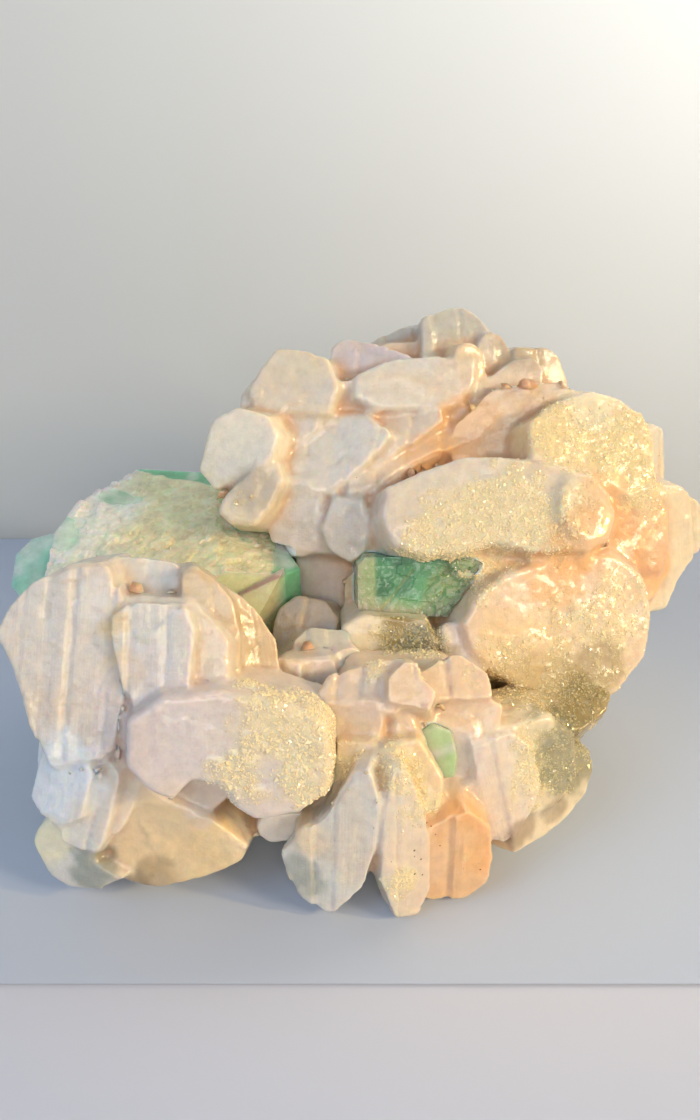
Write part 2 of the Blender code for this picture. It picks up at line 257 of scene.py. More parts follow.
def broken_rock():
    skin = grown_together("basalt_base", BASALT, 1.2)
    mesh = skin.data
    points = points_of(mesh)
    outward = points_of(mesh, "normal")
    lift = 1.1 * swells(points, 13, 3) + 0.7 * swells(points, 5, 4) + 0.35 * swells(points, 2.4, 5)
    lift -= 1.3 * ramp(lumps(points, 6, 6), 0.45, 0.7)  # gas holes
    lift -= 0.6
    lift *= ramp(points[:, 2], 0.6, 3)  # the sawn foot stays flat
    points += outward * lift[:, None]
    points[:, 2] = np.maximum(points[:, 2], 0)
    move_points(mesh, points)
    return skin


def basalt_look():
    made, tree, shader = new_material("basalt", Roughness=0.85)
    where = add_node(tree, "TexCoord").outputs["Object"]
    mottle = add_node(tree, "TexNoise", Vector=where, Scale=260, Detail=8, Roughness=0.65)
    dark, light = (0.035, 0.034, 0.032), (0.21, 0.19, 0.15)
    tones = toned(tree, mottle.outputs["Fac"], (0.32, dark), (0.72, light))
    feed(tree, shader.inputs["Base Color"], tones)
    pits = add_node(tree, "TexVoronoi", Vector=where, Scale=700)
    bump = add_node(tree, "Bump", Strength=0.7, Distance=0.0006, Height=pits.outputs["Distance"])
    feed(tree, shader.inputs["Normal"], bump.outputs["Normal"])
    return made


put_on(broken_rock(), basalt_look(), "basalt_base")

# Green apophyllite
# Three clear to milky green crystals. The large one is a blocky prism with a frosted end face, the
# others are wedged among the stilbite. They grew where they stand, and nothing fixes them.

TOP_FACE = [
    (-33, 10), (-36, -2), (-34, -24), (-20, -27), (10, -22), (22, -15), (26, -11), (20, 1), (6, 18),
    (0, 25), (-19, 27),
]
SIDE_FACE = [(-11, 2), (-7, -8), (2, -14), (12, -10), (12, 12), (-2, 12), (-9, 8)]
MIDDLE_FACE = [(-15, -6), (-2, -8), (7, -8), (12, -1), (16, 5), (12, 7), (-13, 7), (-15, 5)]
SMALL_FACE = [(-5, 5), (-1, -1), (0, -6), (4, -6), (5, -1), (4, 5), (0, 7)]
LARGE = [
    Crystal((-38, 9, 44), faced(0, 79), 36, TOP_FACE, front=0.99),
    Crystal((-74, 5, 43), faced(-20, 62), 24, SIDE_FACE, front=0.9),
]
MIDDLE = Crystal((16, -8, 54), faced(2, 18), 15, MIDDLE_FACE, front=0.96, edge=0.5)
SMALL = Crystal((18, -48, 33), faced(10, 28), 9, SMALL_FACE, front=0.9, edge=0.5)
GREENS = [*LARGE, MIDDLE, SMALL]


def gridded(name, crystal, pitch):
    """A crystal whose front face is finely divided, so that it can carry a crust and growth steps."""
    half = crystal.thick / 2
    rim = [Vector((x * crystal.front, y * crystal.front, half)) for x, y in crystal.outline]
    reach = max(corner.xy.length for corner in rim) + 1
    count = int(2 * reach / pitch)
    bm = bmesh.new()
    level = Matrix.Translation((0, 0, half))
    bmesh.ops.create_grid(bm, x_segments=count, y_segments=count, size=reach, matrix=level)
    for a, b in zip(rim, rim[1:] + rim[:1]):
        bmesh.ops.bisect_plane(
            bm, geom=bm.verts[:] + bm.edges[:] + bm.faces[:], dist=1e-5, plane_co=a,
            plane_no=(b.y - a.y, a.x - b.x, 0), clear_outer=True,
        )
    walls = bmesh.ops.extrude_edge_only(bm, edges=[e for e in bm.edges if e.is_boundary])["geom"]
    for v in walls:
        if isinstance(v, bmesh.types.BMVert):
            v.co = (v.co.x / crystal.front, v.co.y / crystal.front, -half)
    bmesh.ops.contextual_create(bm, geom=[e for e in bm.edges if e.is_boundary])
    bmesh.ops.recalc_face_normals(bm, faces=bm.faces)
    bmesh.ops.transform(bm, matrix=placing(crystal), verts=bm.verts)
    return mesh_object(name, bm)


def joined(body, other):
    union = body.modifiers.new("grown_in", "BOOLEAN")
    union.operation = "UNION"
    union.object = other
    apply_modifiers(body)
    bpy.data.objects.remove(other, do_unlink=True)


def broken_facet(body, at, towards):
    """A flat face where a corner broke off."""
    bm = bmesh.new()
    bm.from_mesh(body.data)
    found = bmesh.ops.bisect_plane(
        bm, geom=bm.verts[:] + bm.edges[:] + bm.faces[:], dist=1e-6,
        plane_co=(Vector(at) - CENTRE) * MM, plane_no=Vector(towards), clear_outer=True,
    )
    rim = [e for e in found["geom_cut"] if isinstance(e, bmesh.types.BMEdge)]
    bmesh.ops.contextual_create(bm, geom=rim)
    bmesh.ops.recalc_face_normals(bm, faces=bm.faces)
    bm.to_mesh(body.data)
    bm.free()


def attribute(mesh, name, kind, values, domain="POINT"):
    made = mesh.attributes.new(name, kind, domain)
    field = {"FLOAT": "value", "FLOAT_VECTOR": "vector", "FLOAT_COLOR": "color"}[kind]
    made.data.foreach_set(field, np.ascontiguousarray(values, np.float32).ravel())


def corner_attribute(mesh, name, kind, values, faces, value):
    """Gives each face corner its point's value, or the one value on the given faces."""
    points = np.empty(len(mesh.loops), np.int32)
    mesh.loops.foreach_get("vertex_index", points)
    spread = np.array(values, np.float32)[points]
    for face in faces:
        spread[list(mesh.polygons[face].loop_indices)] = value
    attribute(mesh, name, kind, spread, "CORNER")


def opaque(tint):
    """Colours kept from 0 to 1, with an alpha of 1."""
    return np.c_[np.clip(tint, 0, 1), np.ones(len(tint))]


def steps(points, size, seed):
    """Flat steps: each cell of the relief stands at its own height and slopes its own way."""
    at = points / np.array(size, float)
    cell = np.floor(at).astype(np.int64)
    nearest = np.full(len(points), 9.0)
    level = np.zeros(len(points))
    for step in itertools.product((-1, 0, 1), repeat=3):
        near = cell + step
        spot = np.stack([scatter(near, seed + k) for k in (1, 2, 3)], axis=1)
        away = at - near - spot
        apart = (away * away).sum(axis=1)
        closer = apart < nearest
        nearest[closer] = apart[closer]
        slope = (away * (spot - 0.5)).sum(axis=1)
        level[closer] = (scatter(near, seed + 4) - 0.5 + slope)[closer]
    return level * 2


def local(crystal, points):
    """The points in the crystal's own directions: across it, along it, and towards its face."""
    return (points - np.array(crystal.at)) @ np.array(crystal.stand)


def on_front(crystal, own):
    """Which points lie on the crystal's front face."""
    return np.abs(own[:, 2] - crystal.thick / 2) < 0.02


def patch(own, x, y, wide, high):
    """1 in the middle of an oval on a crystal's face, falling to 0 at its edge."""
    return np.clip(1.3 - np.hypot((own[:, 0] - x) / wide, (own[:, 1] - y) / high), 0, 1)


FROST = np.array((0.93, 0.86, 0.55))
FROST_WHITE = np.array((0.88, 0.92, 0.80))
TEAL = np.array((0.40, 0.78, 0.58))
BOTTLE_GREEN = np.array((0.22, 0.50, 0.29))
YELLOW_GREEN = np.array((0.74, 0.80, 0.46))
OLIVE_BEIGE = np.array((0.70, 0.64, 0.38))
# Painted glint: the broken facet's near-white colour stands for the light's glint on it.
PAINTED_GLINT = (0.98, 0.97, 0.62, 1)
FACET_AT, FACET_TOWARDS = (-30.7, -13, 58), (0.29, -0.957, -0.03)


def large_crystal():
    """Its end face folds down to the right and has a frosted crust with clear windows; its broken facet is
    painted near white as a painted glint.
    """
    end, side = LARGE
    body = gridded("apophyllite_large", end, 0.55)
    joined(body, gridded("side", side, 0.8))
    broken_facet(body, FACET_AT, FACET_TOWARDS)
    mesh = body.data
    broken = Vector(FACET_TOWARDS).normalized()
    painted_glint_faces = [f.index for f in mesh.polygons if f.normal.dot(broken) > 0.9995]
    points = points_of(mesh)
    own = local(end, points)
    face = on_front(end, own)
    x, y = own[:, 0], own[:, 1]
    window = 1.1 * patch(own, -21, 13, 7, 4) + ramp(y + 0.35 * x, 17.5, 20.5) + 1.2 * ramp(x, 17, 22)
    window += 0.9 * patch(own, -33, -2, 4, 12)
    ragged = 0.5 * swells(points, 7, 71) + 0.2 * swells(points, 2.2, 77)
    frost = np.where(face, ramp(1 - window + ragged, 0.2, 0.7), 0)
    fold = np.where(face, np.maximum(0, x - (5.4 - 0.17 * (y + 4))) * 0.249, 0)
    plates = 0.4 * steps(points, 5, 72) + 0.25 * steps(points, 2.2, 73) + 0.12 * steps(points, 1.1, 74)
    lift = np.where(face, frost * (0.35 + plates) - fold, 0)
    points += lift[:, None] * np.array(end.stand)[:, 2]
    move_points(mesh, points)

    tint = TEAL + 0 * points
    deep = np.where(face, 1.0, ramp(x, 6, 20)) * (1 - frost) * (1 - 0.8 * patch(own, -34, -6, 8, 14))
    tint += deep[:, None] * (BOTTLE_GREEN * 1.2 - tint)
    milk = 0.7 * ramp(swells(points, 9, 78) + 0.6 * swells(points, 3.5, 79), 0, 0.8) * (1 - frost)
    tint += milk[:, None] * (FROST_WHITE - tint)
    white = ramp(-x + 8 * swells(points, 12, 75), 10, 24) * 0.9
    crust = FROST + white[:, None] * (FROST_WHITE - FROST)
    crust *= (1 + 0.1 * steps(points, 2.2, 76))[:, None]
    tint += frost[:, None] * (crust - tint)
    front_wall = np.where(face, 0, ramp(x, -4, 4) * ramp(-x, -23, -19) * ramp(-y, 0, 8))
    tint += (0.85 * front_wall)[:, None] * (OLIVE_BEIGE - tint)
    # The broken facet gets the painted glint colour and no frost.
    corner_attribute(mesh, "tint", "FLOAT_COLOR", opaque(tint), painted_glint_faces, PAINTED_GLINT)
    corner_attribute(mesh, "frost", "FLOAT", frost, painted_glint_faces, 0)
    return body


def middle_crystal():
    """Deep green and cracked, pale at its left end, rough and glinting at its lower right."""
    body = gridded("apophyllite_middle", MIDDLE, 0.4)
    mesh = body.data
    points = points_of(mesh)
    own = local(MIDDLE, points)
    face = on_front(MIDDLE, own)
    x, y = own[:, 0], own[:, 1]
    rough = np.where(face, ramp(x - 0.8 * y + 3 * swells(points, 5, 81), 0, 5), 0)
    left = ramp(-x, 9.5, 11)
    crack = np.where(face, np.clip(1 - np.abs(y - 1.3 * (x + 4)) / 0.9, 0, 1) * ramp(-x, 0.5, 1.5), 0)
    lift = rough * (0.5 * steps(points, 2.6, 82) + 0.22 * steps(points, 1.2, 83)) - 0.5 * crack
    lift += np.where(face, 0.18 * steps(points, (6, 6, 3), 84) - 0.35 * ramp(-x, 9.5, 13), 0)
    points += lift[:, None] * np.array(MIDDLE.stand)[:, 2]
    move_points(mesh, points)
    tint = BOTTLE_GREEN * (1 + 0.35 * swells(points, 4, 85))[:, None]
    light = np.clip(left * 0.8 + 0.5 * rough + 0.8 * patch(own, -8, -6, 8, 3) + 0.5 * crack, 0, 0.9)
    tint += light[:, None] * (YELLOW_GREEN - tint)
    attribute(mesh, "tint", "FLOAT_COLOR", opaque(tint))
    attribute(mesh, "frost", "FLOAT", 0.4 * rough)
    return body


def small_crystal():
    """Pale and smooth, with a light band."""
    bm = bmesh.new()
    add_body(bm, SMALL)
    bmesh.ops.triangulate(bm, faces=bm.faces)
    bmesh.ops.subdivide_edges(bm, edges=bm.edges, cuts=5, use_grid_fill=True)
    body = mesh_object("apophyllite_small", bm)
    points = points_of(body.data)
    own = local(SMALL, points)
    band = np.clip(1 - np.abs(own[:, 1] - 0.3 * own[:, 0]) / 1.6, 0, 1)
    tint = YELLOW_GREEN * (0.8, 0.96, 0.92) + 0 * points
    tint += (0.8 * band)[:, None] * (FROST_WHITE - tint)
    attribute(body.data, "tint", "FLOAT_COLOR", opaque(tint))
    attribute(body.data, "frost", "FLOAT", 0 * band)
    return body


def new_group(name, inputs, outputs):
    """A shader node group with the given sockets, what its input node puts out and its output takes."""
    tree = bpy.data.node_groups.new(name, "ShaderNodeTree")
    for way, sockets in (("INPUT", inputs), ("OUTPUT", outputs)):
        for socket, kind in sockets.items():
            tree.interface.new_socket(socket, in_out=way, socket_type="NodeSocket" + kind)
    given = tree.nodes.new("NodeGroupInput")
    result = tree.nodes.new("NodeGroupOutput")
    return tree, given.outputs, result.inputs


def worked_out(tree, operation, a, b, kind="Math"):
    """What a Math or VectorMath node makes of two values."""
    node = add_node(tree, kind, operation=operation)
    feed(tree, node.inputs[0], a)
    feed(tree, node.inputs[1], b)
    return node.outputs["Value" if kind == "Math" or operation == "DOT_PRODUCT" else "Vector"]


def facets_group():
    """Flat facets, each tilted its own way: the height of the relief of tiny crystal faces."""
    tree, given, result = new_group(
        "crystal_facets", {"Vector": "Vector", "Per Metre": "Float"}, {"Height": "Float"}
    )
    scaled = add_node(
        tree, "VectorMath", operation="SCALE", Vector=given["Vector"], Scale=given["Per Metre"]
    ).outputs["Vector"]
    cells = add_node(tree, "TexVoronoi", Scale=1, Vector=scaled)
    offset = worked_out(tree, "SUBTRACT", scaled, cells.outputs["Position"], "VectorMath")
    tilt = worked_out(tree, "SUBTRACT", cells.outputs["Color"], (0.5, 0.5, 0.5), "VectorMath")
    feed(tree, result["Height"], worked_out(tree, "DOT_PRODUCT", offset, tilt, "VectorMath"))
    return tree


def clouds_group():
    """A colour made lighter and darker by cloudy veils, and the veils themselves."""
    tree, given, result = new_group(
        "inner_veils",
        {"Vector": "Vector", "Color": "Color", "Per Metre": "Float", "Detail": "Float",
         "Thin": "Float", "Thick": "Float", "Darkest": "Float", "Lightest": "Float"},
        {"Color": "Color", "Veils": "Float"},
    )
    veils = add_node(
        tree, "TexNoise", Vector=given["Vector"], Scale=given["Per Metre"], Detail=given["Detail"],
        Roughness=0.65,
    ).outputs["Fac"]
    shade = add_node(
        tree, "MapRange", Value=veils, From_Min=given["Thin"], From_Max=given["Thick"],
        To_Min=given["Darkest"], To_Max=given["Lightest"],
    ).outputs["Result"]
    feed(tree, result["Color"], worked_out(tree, "MULTIPLY", given["Color"], shade, "VectorMath"))
    feed(tree, result["Veils"], veils)
    return tree


CRYSTAL_FACETS = facets_group()
INNER_VEILS = clouds_group()


def facets(tree, vector, per_metre, strength=1.0):
    group = add_node(tree, "Group", node_tree=CRYSTAL_FACETS, Vector=vector, Per_Metre=per_metre)
    return worked_out(tree, "MULTIPLY", group.outputs["Height"], strength)


def green_look(name, clear, absorbed, density, roughness, facet_size, relief):
    """Green crystal: plain transmission and absorption, with milk in the body and frost on its faces."""
    made, tree, shader = new_material(
        name, IOR=1.535, Transmission_Weight=clear, Subsurface_Weight=1.0, Subsurface_Scale=0.006,
        Subsurface_Radius=(0.45, 1.0, 0.7),
    )
    where = add_node(tree, "TexCoord").outputs["Object"]
    tint = add_node(tree, "Attribute", attribute_name="tint").outputs["Color"]
    frost = add_node(tree, "Attribute", attribute_name="frost").outputs["Fac"]
    milky = add_node(
        tree, "Group", node_tree=INNER_VEILS, Vector=where, Color=tint, Per_Metre=160, Detail=6,
        Thin=0.3, Thick=0.7, Darkest=0.78, Lightest=1.2,
    )
    feed(tree, shader.inputs["Base Color"], milky.outputs["Color"])
    dull = add_node(tree, "MapRange", Value=frost, To_Min=roughness, To_Max=0.42)
    feed(tree, shader.inputs["Roughness"], dull.outputs["Result"])
    coarse = facets(tree, where, 1000 / facet_size)
    fine = facets(tree, where, 2600 / facet_size, 0.4)
    height = worked_out(tree, "ADD", coarse, fine)
    bump = add_node(tree, "Bump", Strength=relief, Distance=0.0005, Height=height)
    feed(tree, shader.inputs["Normal"], bump.outputs["Normal"])
    absorb = add_node(tree, "VolumeAbsorption", Color=(*absorbed, 1), Density=density)
    feed(tree, tree.nodes["Material Output"].inputs["Volume"], absorb.outputs["Volume"])
    return made


large = large_crystal()
milky_green = green_look(
    "milky_green", clear=0.2, absorbed=(0.45, 0.85, 0.65), density=20, roughness=0.16, facet_size=1.4,
    relief=0.45,
)
put_on(large, milky_green, "apophyllite_large")
middle = middle_crystal()
deep_green = green_look(
    "deep_green", clear=0.4, absorbed=(0.25, 0.75, 0.4), density=60, roughness=0.1, facet_size=1.3,
    relief=0.5,
)
put_on(middle, deep_green, "apophyllite_middle")
small = small_crystal()
pale_green = green_look(
    "pale_green", clear=0.35, absorbed=(0.5, 0.85, 0.5), density=40, roughness=0.2, facet_size=1.5,
    relief=0.2,
)
put_on(small, pale_green, "apophyllite_small")
for crystal in (large, middle, small):
    crystal.data.shade_flat()

# Pocket blades
# Small pale stilbite blades down in the pocket between the clusters. Stilbite is a zeolite that grows
# as pearly blades, side by side in sheaves, and a late crust of sugar-fine crystals covers some faces.

WHITE = (0.69, 0.65, 0.58)
PALE = (0.70, 0.61, 0.51)
PINK = (0.70, 0.60, 0.53)
PEACH = (0.73, 0.56, 0.40)
GOLD = (0.78, 0.59, 0.33)
ORANGE = (0.80, 0.46, 0.20)
GREY = (0.56, 0.53, 0.45)
LILAC = (0.64, 0.57, 0.58)
GREEN_GREY = (0.27, 0.25, 0.15)
BLUE_WHITE = (0.72, 0.75, 0.77)
# Deep peach is also the painted shade laid into the creases where crystals meet.
DEEP_PEACH = (0.62, 0.33, 0.17)
# White of crystal tips, also used as the painted highlight that whitens crystal edges.
TIP_WHITE_AND_EDGE_SHEEN = (0.76, 0.70, 0.61)
SUGAR_GOLD = (0.92, 0.75, 0.42)
PEARL = (0.84, 0.76, 0.55)
STONE_GREY = (0.42, 0.42, 0.36)
GREEN_BLACK = (0.16, 0.20, 0.16)
GREEN_GOLD = (0.33, 0.24, 0.09)
BROWN = (0.26, 0.18, 0.10)
BROWN_GREY = (0.47, 0.37, 0.25)

# Where the crust lies, on all the clusters: the middle of each patch, its radius and how dense it is.
SUGAR = [
    # The back cluster's slab, gold block and round plate, and the pocket beside it.
    (28, -12, 72, 13, 1.0), (39, -9, 73, 14, 1.0), (49, -10, 71, 12, 0.8), (18, -15, 66, 8, 1.0),
    (30, -15, 63, 12, 0.9),
    (52, 3, 86, 14, 0.7), (65, 6, 85, 12, 0.9), (46, 4, 89, 7, 0.5), (71, 1, 76, 9, 0.8),
    (59, -18, 43, 15, 0.7), (49, -19, 49, 12, 0.45), (37, -23, 42, 12, 0.7), (64, -12, 53, 9, 0.7),
    (50, -22, 32, 14, 1.0), (11, -25, 47, 7, 0.9), (17, -25, 46, 8, 1.0), (19, -24, 38, 8, 1.0),
    (-24, -3, 71, 7, 0.4),
    # The left cluster's block.
    (-12, -58, 48, 13, 0.9), (-6, -58, 45, 10, 1.0), (-23, -63, 37, 8, 0.8), (-19, -52, 52, 8, 0.6),
    (-8, -60, 38, 10, 0.9),
    # The front cluster's fan and shelf.
    (10, -57, 35, 8, 1.0), (4, -54, 32, 8, 1.0), (12, -56, 28, 8, 0.9), (12, -66, 11, 5, 0.9),
    (42, -44, 27, 12, 0.8), (48, -30, 33, 10, 0.9), (40, -30, 34, 9, 0.9), (50, -36, 22, 9, 0.7),
    (23, -56, 14, 4, 0.8), (6, -44, 52, 4, 0.6), (16, -45, 52, 4, 0.7), (26, -42, 50, 4, 0.5),
]

# Marks on single crystals: the middle of each, its radius, its colour and its strength. Most are stains
# that time left; the pearl patch on the round foot is a painted highlight, and the brown at the feet's
# underside only makes them darker along the bottom.
STAINS = [
    ((-49, -44, 63), 4, GOLD, 0.8), ((-47, -50, 55), 5, GOLD, 0.7), ((-54, -42, 67), 5, TIP_WHITE_AND_EDGE_SHEEN, 0.8),
    ((-59, -58, 37), 7, BLUE_WHITE, 0.9), ((-63, -55, 28), 7, BLUE_WHITE, 0.8),
    # Painted highlight: the pearl patch on the round foot, at the end of the next line.
    ((-57, -56, 31), 6, BLUE_WHITE, 0.7), ((-66, -57, 17), 7, PEARL, 1.0),
    # The brown spots on the next line make the feet darker along the bottom.
    ((-56, -61, 11), 6, GREEN_BLACK, 0.6), ((-43, -60, 8), 5, BROWN, 0.5), ((-48, -60, 5), 5, BROWN, 0.6),
    ((-30, -60, 31), 9, PINK, 0.8), ((-41, -59, 49), 16, LILAC, 0.5),
    ((-11, -63, 13), 4, STONE_GREY, 0.8), ((-9, -63, 9), 4, STONE_GREY, 0.8),
    ((4, -62, 6), 4, PEARL, 0.6), ((40, -23, 33), 10, GREEN_GOLD, 0.9),
    ((45, -33, 31), 9, GREEN_GREY, 0.7), ((50, -37, 27), 13, GREEN_GREY, 0.8),
    ((56, -28, 31), 7, GREEN_GOLD, 0.8), ((38, -50, 13), 5, BROWN, 0.6), ((46, -44, 14), 4, BROWN, 0.5),
    ((29, 11, 85), 10, ORANGE, 0.6), ((19, 8, 80), 6, ORANGE, 0.4), ((54, -13, 66), 9, ORANGE, 0.6),
    ((49, -14, 59), 8, ORANGE, 0.6), ((12, -24, 47), 6, GREEN_GOLD, 0.9),
    ((16, -25, 45), 6, GREEN_GREY, 0.9), ((48, -24, 33), 9, GREEN_GOLD, 0.75),
    ((59, -20, 36), 8, GREEN_GOLD, 0.5), ((20, -24, 42), 6, BROWN, 0.5),
    ((43, 29, 101), 9, BROWN_GREY, 0.7), ((40, -25, 42), 13, GOLD, 0.6),
    ((-22, 0, 74), 6, BROWN_GREY, 0.6), ((58, 12, 93), 8, PEARL, 0.7), ((59, -5, 74), 7, ORANGE, 0.5),
    ((24, -49, 31), 7, LILAC, 0.4), ((-13, 3, 54), 8, PINK, 0.7), ((2, -49, 47), 6, PINK, 0.4),
]


def block(width, length, corner=0.28):
    """A rectangle whose corners are cut off."""
    x, y = width / 2, length / 2
    c = corner * min(width, length)
    right = [(x - c, -y), (x, c - y), (x, y - c), (x - c, y)]
    return right + [(-a, b) for a, b in reversed(right)]


def softened(outline, cut=0.7):
    """The outline with each corner cut off, as corners wear and grow round."""
    made = []
    for before, corner, after in zip(outline[-1:] + outline[:-1], outline, outline[1:] + outline[:1]):
        at = Vector(corner)
        for other in (Vector(before), Vector(after)):
            away = other - at
            made.append(tuple(at + away * min(0.3, cut / away.length)))
    return made


def strip(outline, low, high):
    """The part of an outline between two lengthwise lines."""
    for sign, limit in ((1, high), (-1, low)):
        kept = []
        for a, b in zip(outline, outline[1:] + outline[:1]):
            inside = [sign * corner[0] <= sign * limit for corner in (a, b)]
            if inside[0]:
                kept.append(a)
            if inside[0] != inside[1]:
                t = (limit - a[0]) / (b[0] - a[0])
                kept.append((limit, a[1] + t * (b[1] - a[1])))
        outline = kept
    return outline


def bundled(crystal, rng):
    """A ribbed blade as strips that grew side by side, each with its own height and tilt."""
    left = min(x for x, y in crystal.outline)
    wide = max(x for x, y in crystal.outline) - left
    if crystal.ribs < 0.3 or wide < 8:
        return [crystal]
    made = [crystal._replace(thick=crystal.thick - 1.2)]
    low = left
    while low < left + wide - 2:
        high = min(low + rng.uniform(3.5, 9), left + wide)
        if left + wide - high < 2.4:
            high = left + wide
        middle = (low + high) / 2
        length = rng.uniform(0.9, 1.0)
        outline = [(x - middle, y * length) for x, y in strip(crystal.outline, low, high)]
        if len(outline) > 2:
            stand = crystal.stand @ Matrix.Rotation(math.radians(rng.uniform(-5, 5)), 3, "Y")
            at = Vector(crystal.at) + crystal.stand @ Vector((middle, 0, 0))
            thick = crystal.thick + rng.uniform(-0.8, 0.2)
            made.append(crystal._replace(at=tuple(at), stand=stand, thick=thick, outline=outline, edge=0.3))
        low = high
    return made


def depth(crystal, own):
    """How far points are outside the crystal with its rounded edges, or inside it where negative."""
    half = crystal.thick / 2
    share = np.clip((own[:, 2] + half) / crystal.thick, 0, 1)
    scale = 1 + (crystal.front - 1) * share
    flat = own[:, :2] / scale[:, None]
    corners = np.array(crystal.outline, float)
    sides = np.roll(corners, -1, axis=0) - corners
    near = np.full(len(own), 1e9)
    inside = np.zeros(len(own), bool)
    for a, d in zip(corners, sides):
        away = flat - a
        t = np.clip(away @ d / (d @ d), 0, 1)
        near = np.minimum(near, ((away - t[:, None] * d) ** 2).sum(axis=1))
        crosses = (a[1] > flat[:, 1]) != (a[1] + d[1] > flat[:, 1])
        with np.errstate(divide="ignore", invalid="ignore"):
            inside ^= crosses & (flat[:, 0] < a[0] + d[0] * (flat[:, 1] - a[1]) / d[1])
    side = np.sqrt(near) * np.where(inside, -1, 1) + crystal.edge
    face = np.abs(own[:, 2]) - half + crystal.edge
    corner = np.hypot(np.maximum(side, 0), np.maximum(face, 0))
    return corner + np.minimum(np.maximum(side, face), 0) - crystal.edge


def close_to(crystal, points):
    """Which points are near enough to the crystal to take part in it."""
    reach = max(math.hypot(x, y) for x, y in crystal.outline) + crystal.thick / 2 + 3
    return np.where(np.linalg.norm(points - np.array(crystal.at), axis=1) < reach)[0]


def fused(bundles, points, softness):
    """How far points are outside bundles that melt into each other, and which bundle each is on."""
    total = np.full(len(points), 1e-12)
    nearest = np.full(len(points), 99.0)
    owner = np.zeros(len(points), int)
    for number, strips in enumerate(bundles):
        close = close_to(strips[0], points)
        if len(close):
            near = points[close]
            away = np.min([depth(part, local(part, near)) for part in strips], axis=0)
            total[close] += np.exp(-np.clip(away, -9, 9) / softness)
            nearer = away < nearest[close]
            nearest[close[nearer]] = away[nearer]
            owner[close[nearer]] = number
    return -softness * np.log(total), owner


def neighbours_middle(mesh, points, rounds):
    """Where each point ends up when it moves to the middle of its neighbours, again and again."""
    edges = np.empty(len(mesh.edges) * 2, np.int32)
    mesh.edges.foreach_get("vertices", edges)
    a, b = edges.reshape(-1, 2).T
    count = len(points)
    touching = np.maximum(np.bincount(a, minlength=count) + np.bincount(b, minlength=count), 1)
    for _ in range(rounds):
        points = np.stack([
            np.bincount(a, points[b, k], count) + np.bincount(b, points[a, k], count) for k in range(3)
        ], axis=1) / touching[:, None]
    return points


def crust_at(points, seed):
    """How thick the sugary crust lies at each point, from 0 to 1."""
    crust = np.zeros(len(points))
    for x, y, z, radius, amount in SUGAR:
        reach = 1 - np.linalg.norm(points - (x, y, z), axis=1) / (radius * 1.25)
        crust = np.maximum(crust, amount * np.clip(reach * 1.6, 0, 1))
    ragged = 0.3 * swells(points, 5.5, seed) + 0.3 * swells(points, 2.1, seed + 1)
    return np.where(crust > 0.02, ramp(crust + ragged, 0.2, 0.95), 0)


def colours_at(crystals, points, hollow, crust, seed):
    """Each crystal's own colour, whiter on its edges as white tips with a painted highlight, and deep peach
    where it meets others as painted crease shade and glow.
    """
    tint = np.zeros((len(points), 3))
    share = np.full(len(points), 1e-9)
    for crystal in crystals:
        close = close_to(crystal, points)
        if len(close):
            away = depth(crystal, local(crystal, points[close]))
            weight = np.exp(-np.clip(away, -4, 8) / 1.1)
            tint[close] += weight[:, None] * np.array(crystal.tint)
            share[close] += weight
    tint /= share[:, None]

    def towards(colour, amount):
        return np.clip(amount, 0, 1)[:, None] * (np.array(colour) - tint)

    clouds = swells(points, 16, seed + 8) + 0.6 * swells(points, 6, seed + 9)
    tint += towards(WHITE, 0.35 * ramp(clouds, 0.1, 0.9))
    tint += towards(PEACH, 0.35 * ramp(-clouds, 0.1, 0.9))
    # Painted shade: deep peach darkens the creases where crystals meet, standing for their shade and warm
    # glow.
    tint += towards(DEEP_PEACH, 0.8 * ramp(hollow, 0.15, 1.5))
    # Partly white tips and partly painted highlight: the edges turn whiter.
    tint += towards(TIP_WHITE_AND_EDGE_SHEEN, 0.15 * ramp(-hollow, 0.15, 0.9))
    tint += towards(SUGAR_GOLD, 0.65 * crust)
    ragged = 0.25 * swells(points, 4, seed + 10) + 0.2 * swells(points, 1.6, seed + 11)
    for spot, radius, colour, amount in STAINS:
        reach = 1 - np.linalg.norm(points - spot, axis=1) / (radius * 1.3)
        tint += towards(colour, amount * ramp(reach * 1.7 + ragged, 0.15, 0.85) * (reach > 0))
    return opaque(tint)


def socketed(skin, crystals, room=0.05):
    """Cuts a socket into the skin for each green crystal that grew in it."""
    cutters = []
    for crystal in crystals:
        bm = bmesh.new()
        add_body(bm, crystal, grow=room)
        cutters.append(mesh_object("socket", bm))
        cut = skin.modifiers.new("socket", "BOOLEAN")
        cut.operation = "DIFFERENCE"
        cut.solver = "MANIFOLD"
        cut.object = cutters[-1]
    apply_modifiers(skin)
    for cutter in cutters:
        bpy.data.objects.remove(cutter, do_unlink=True)


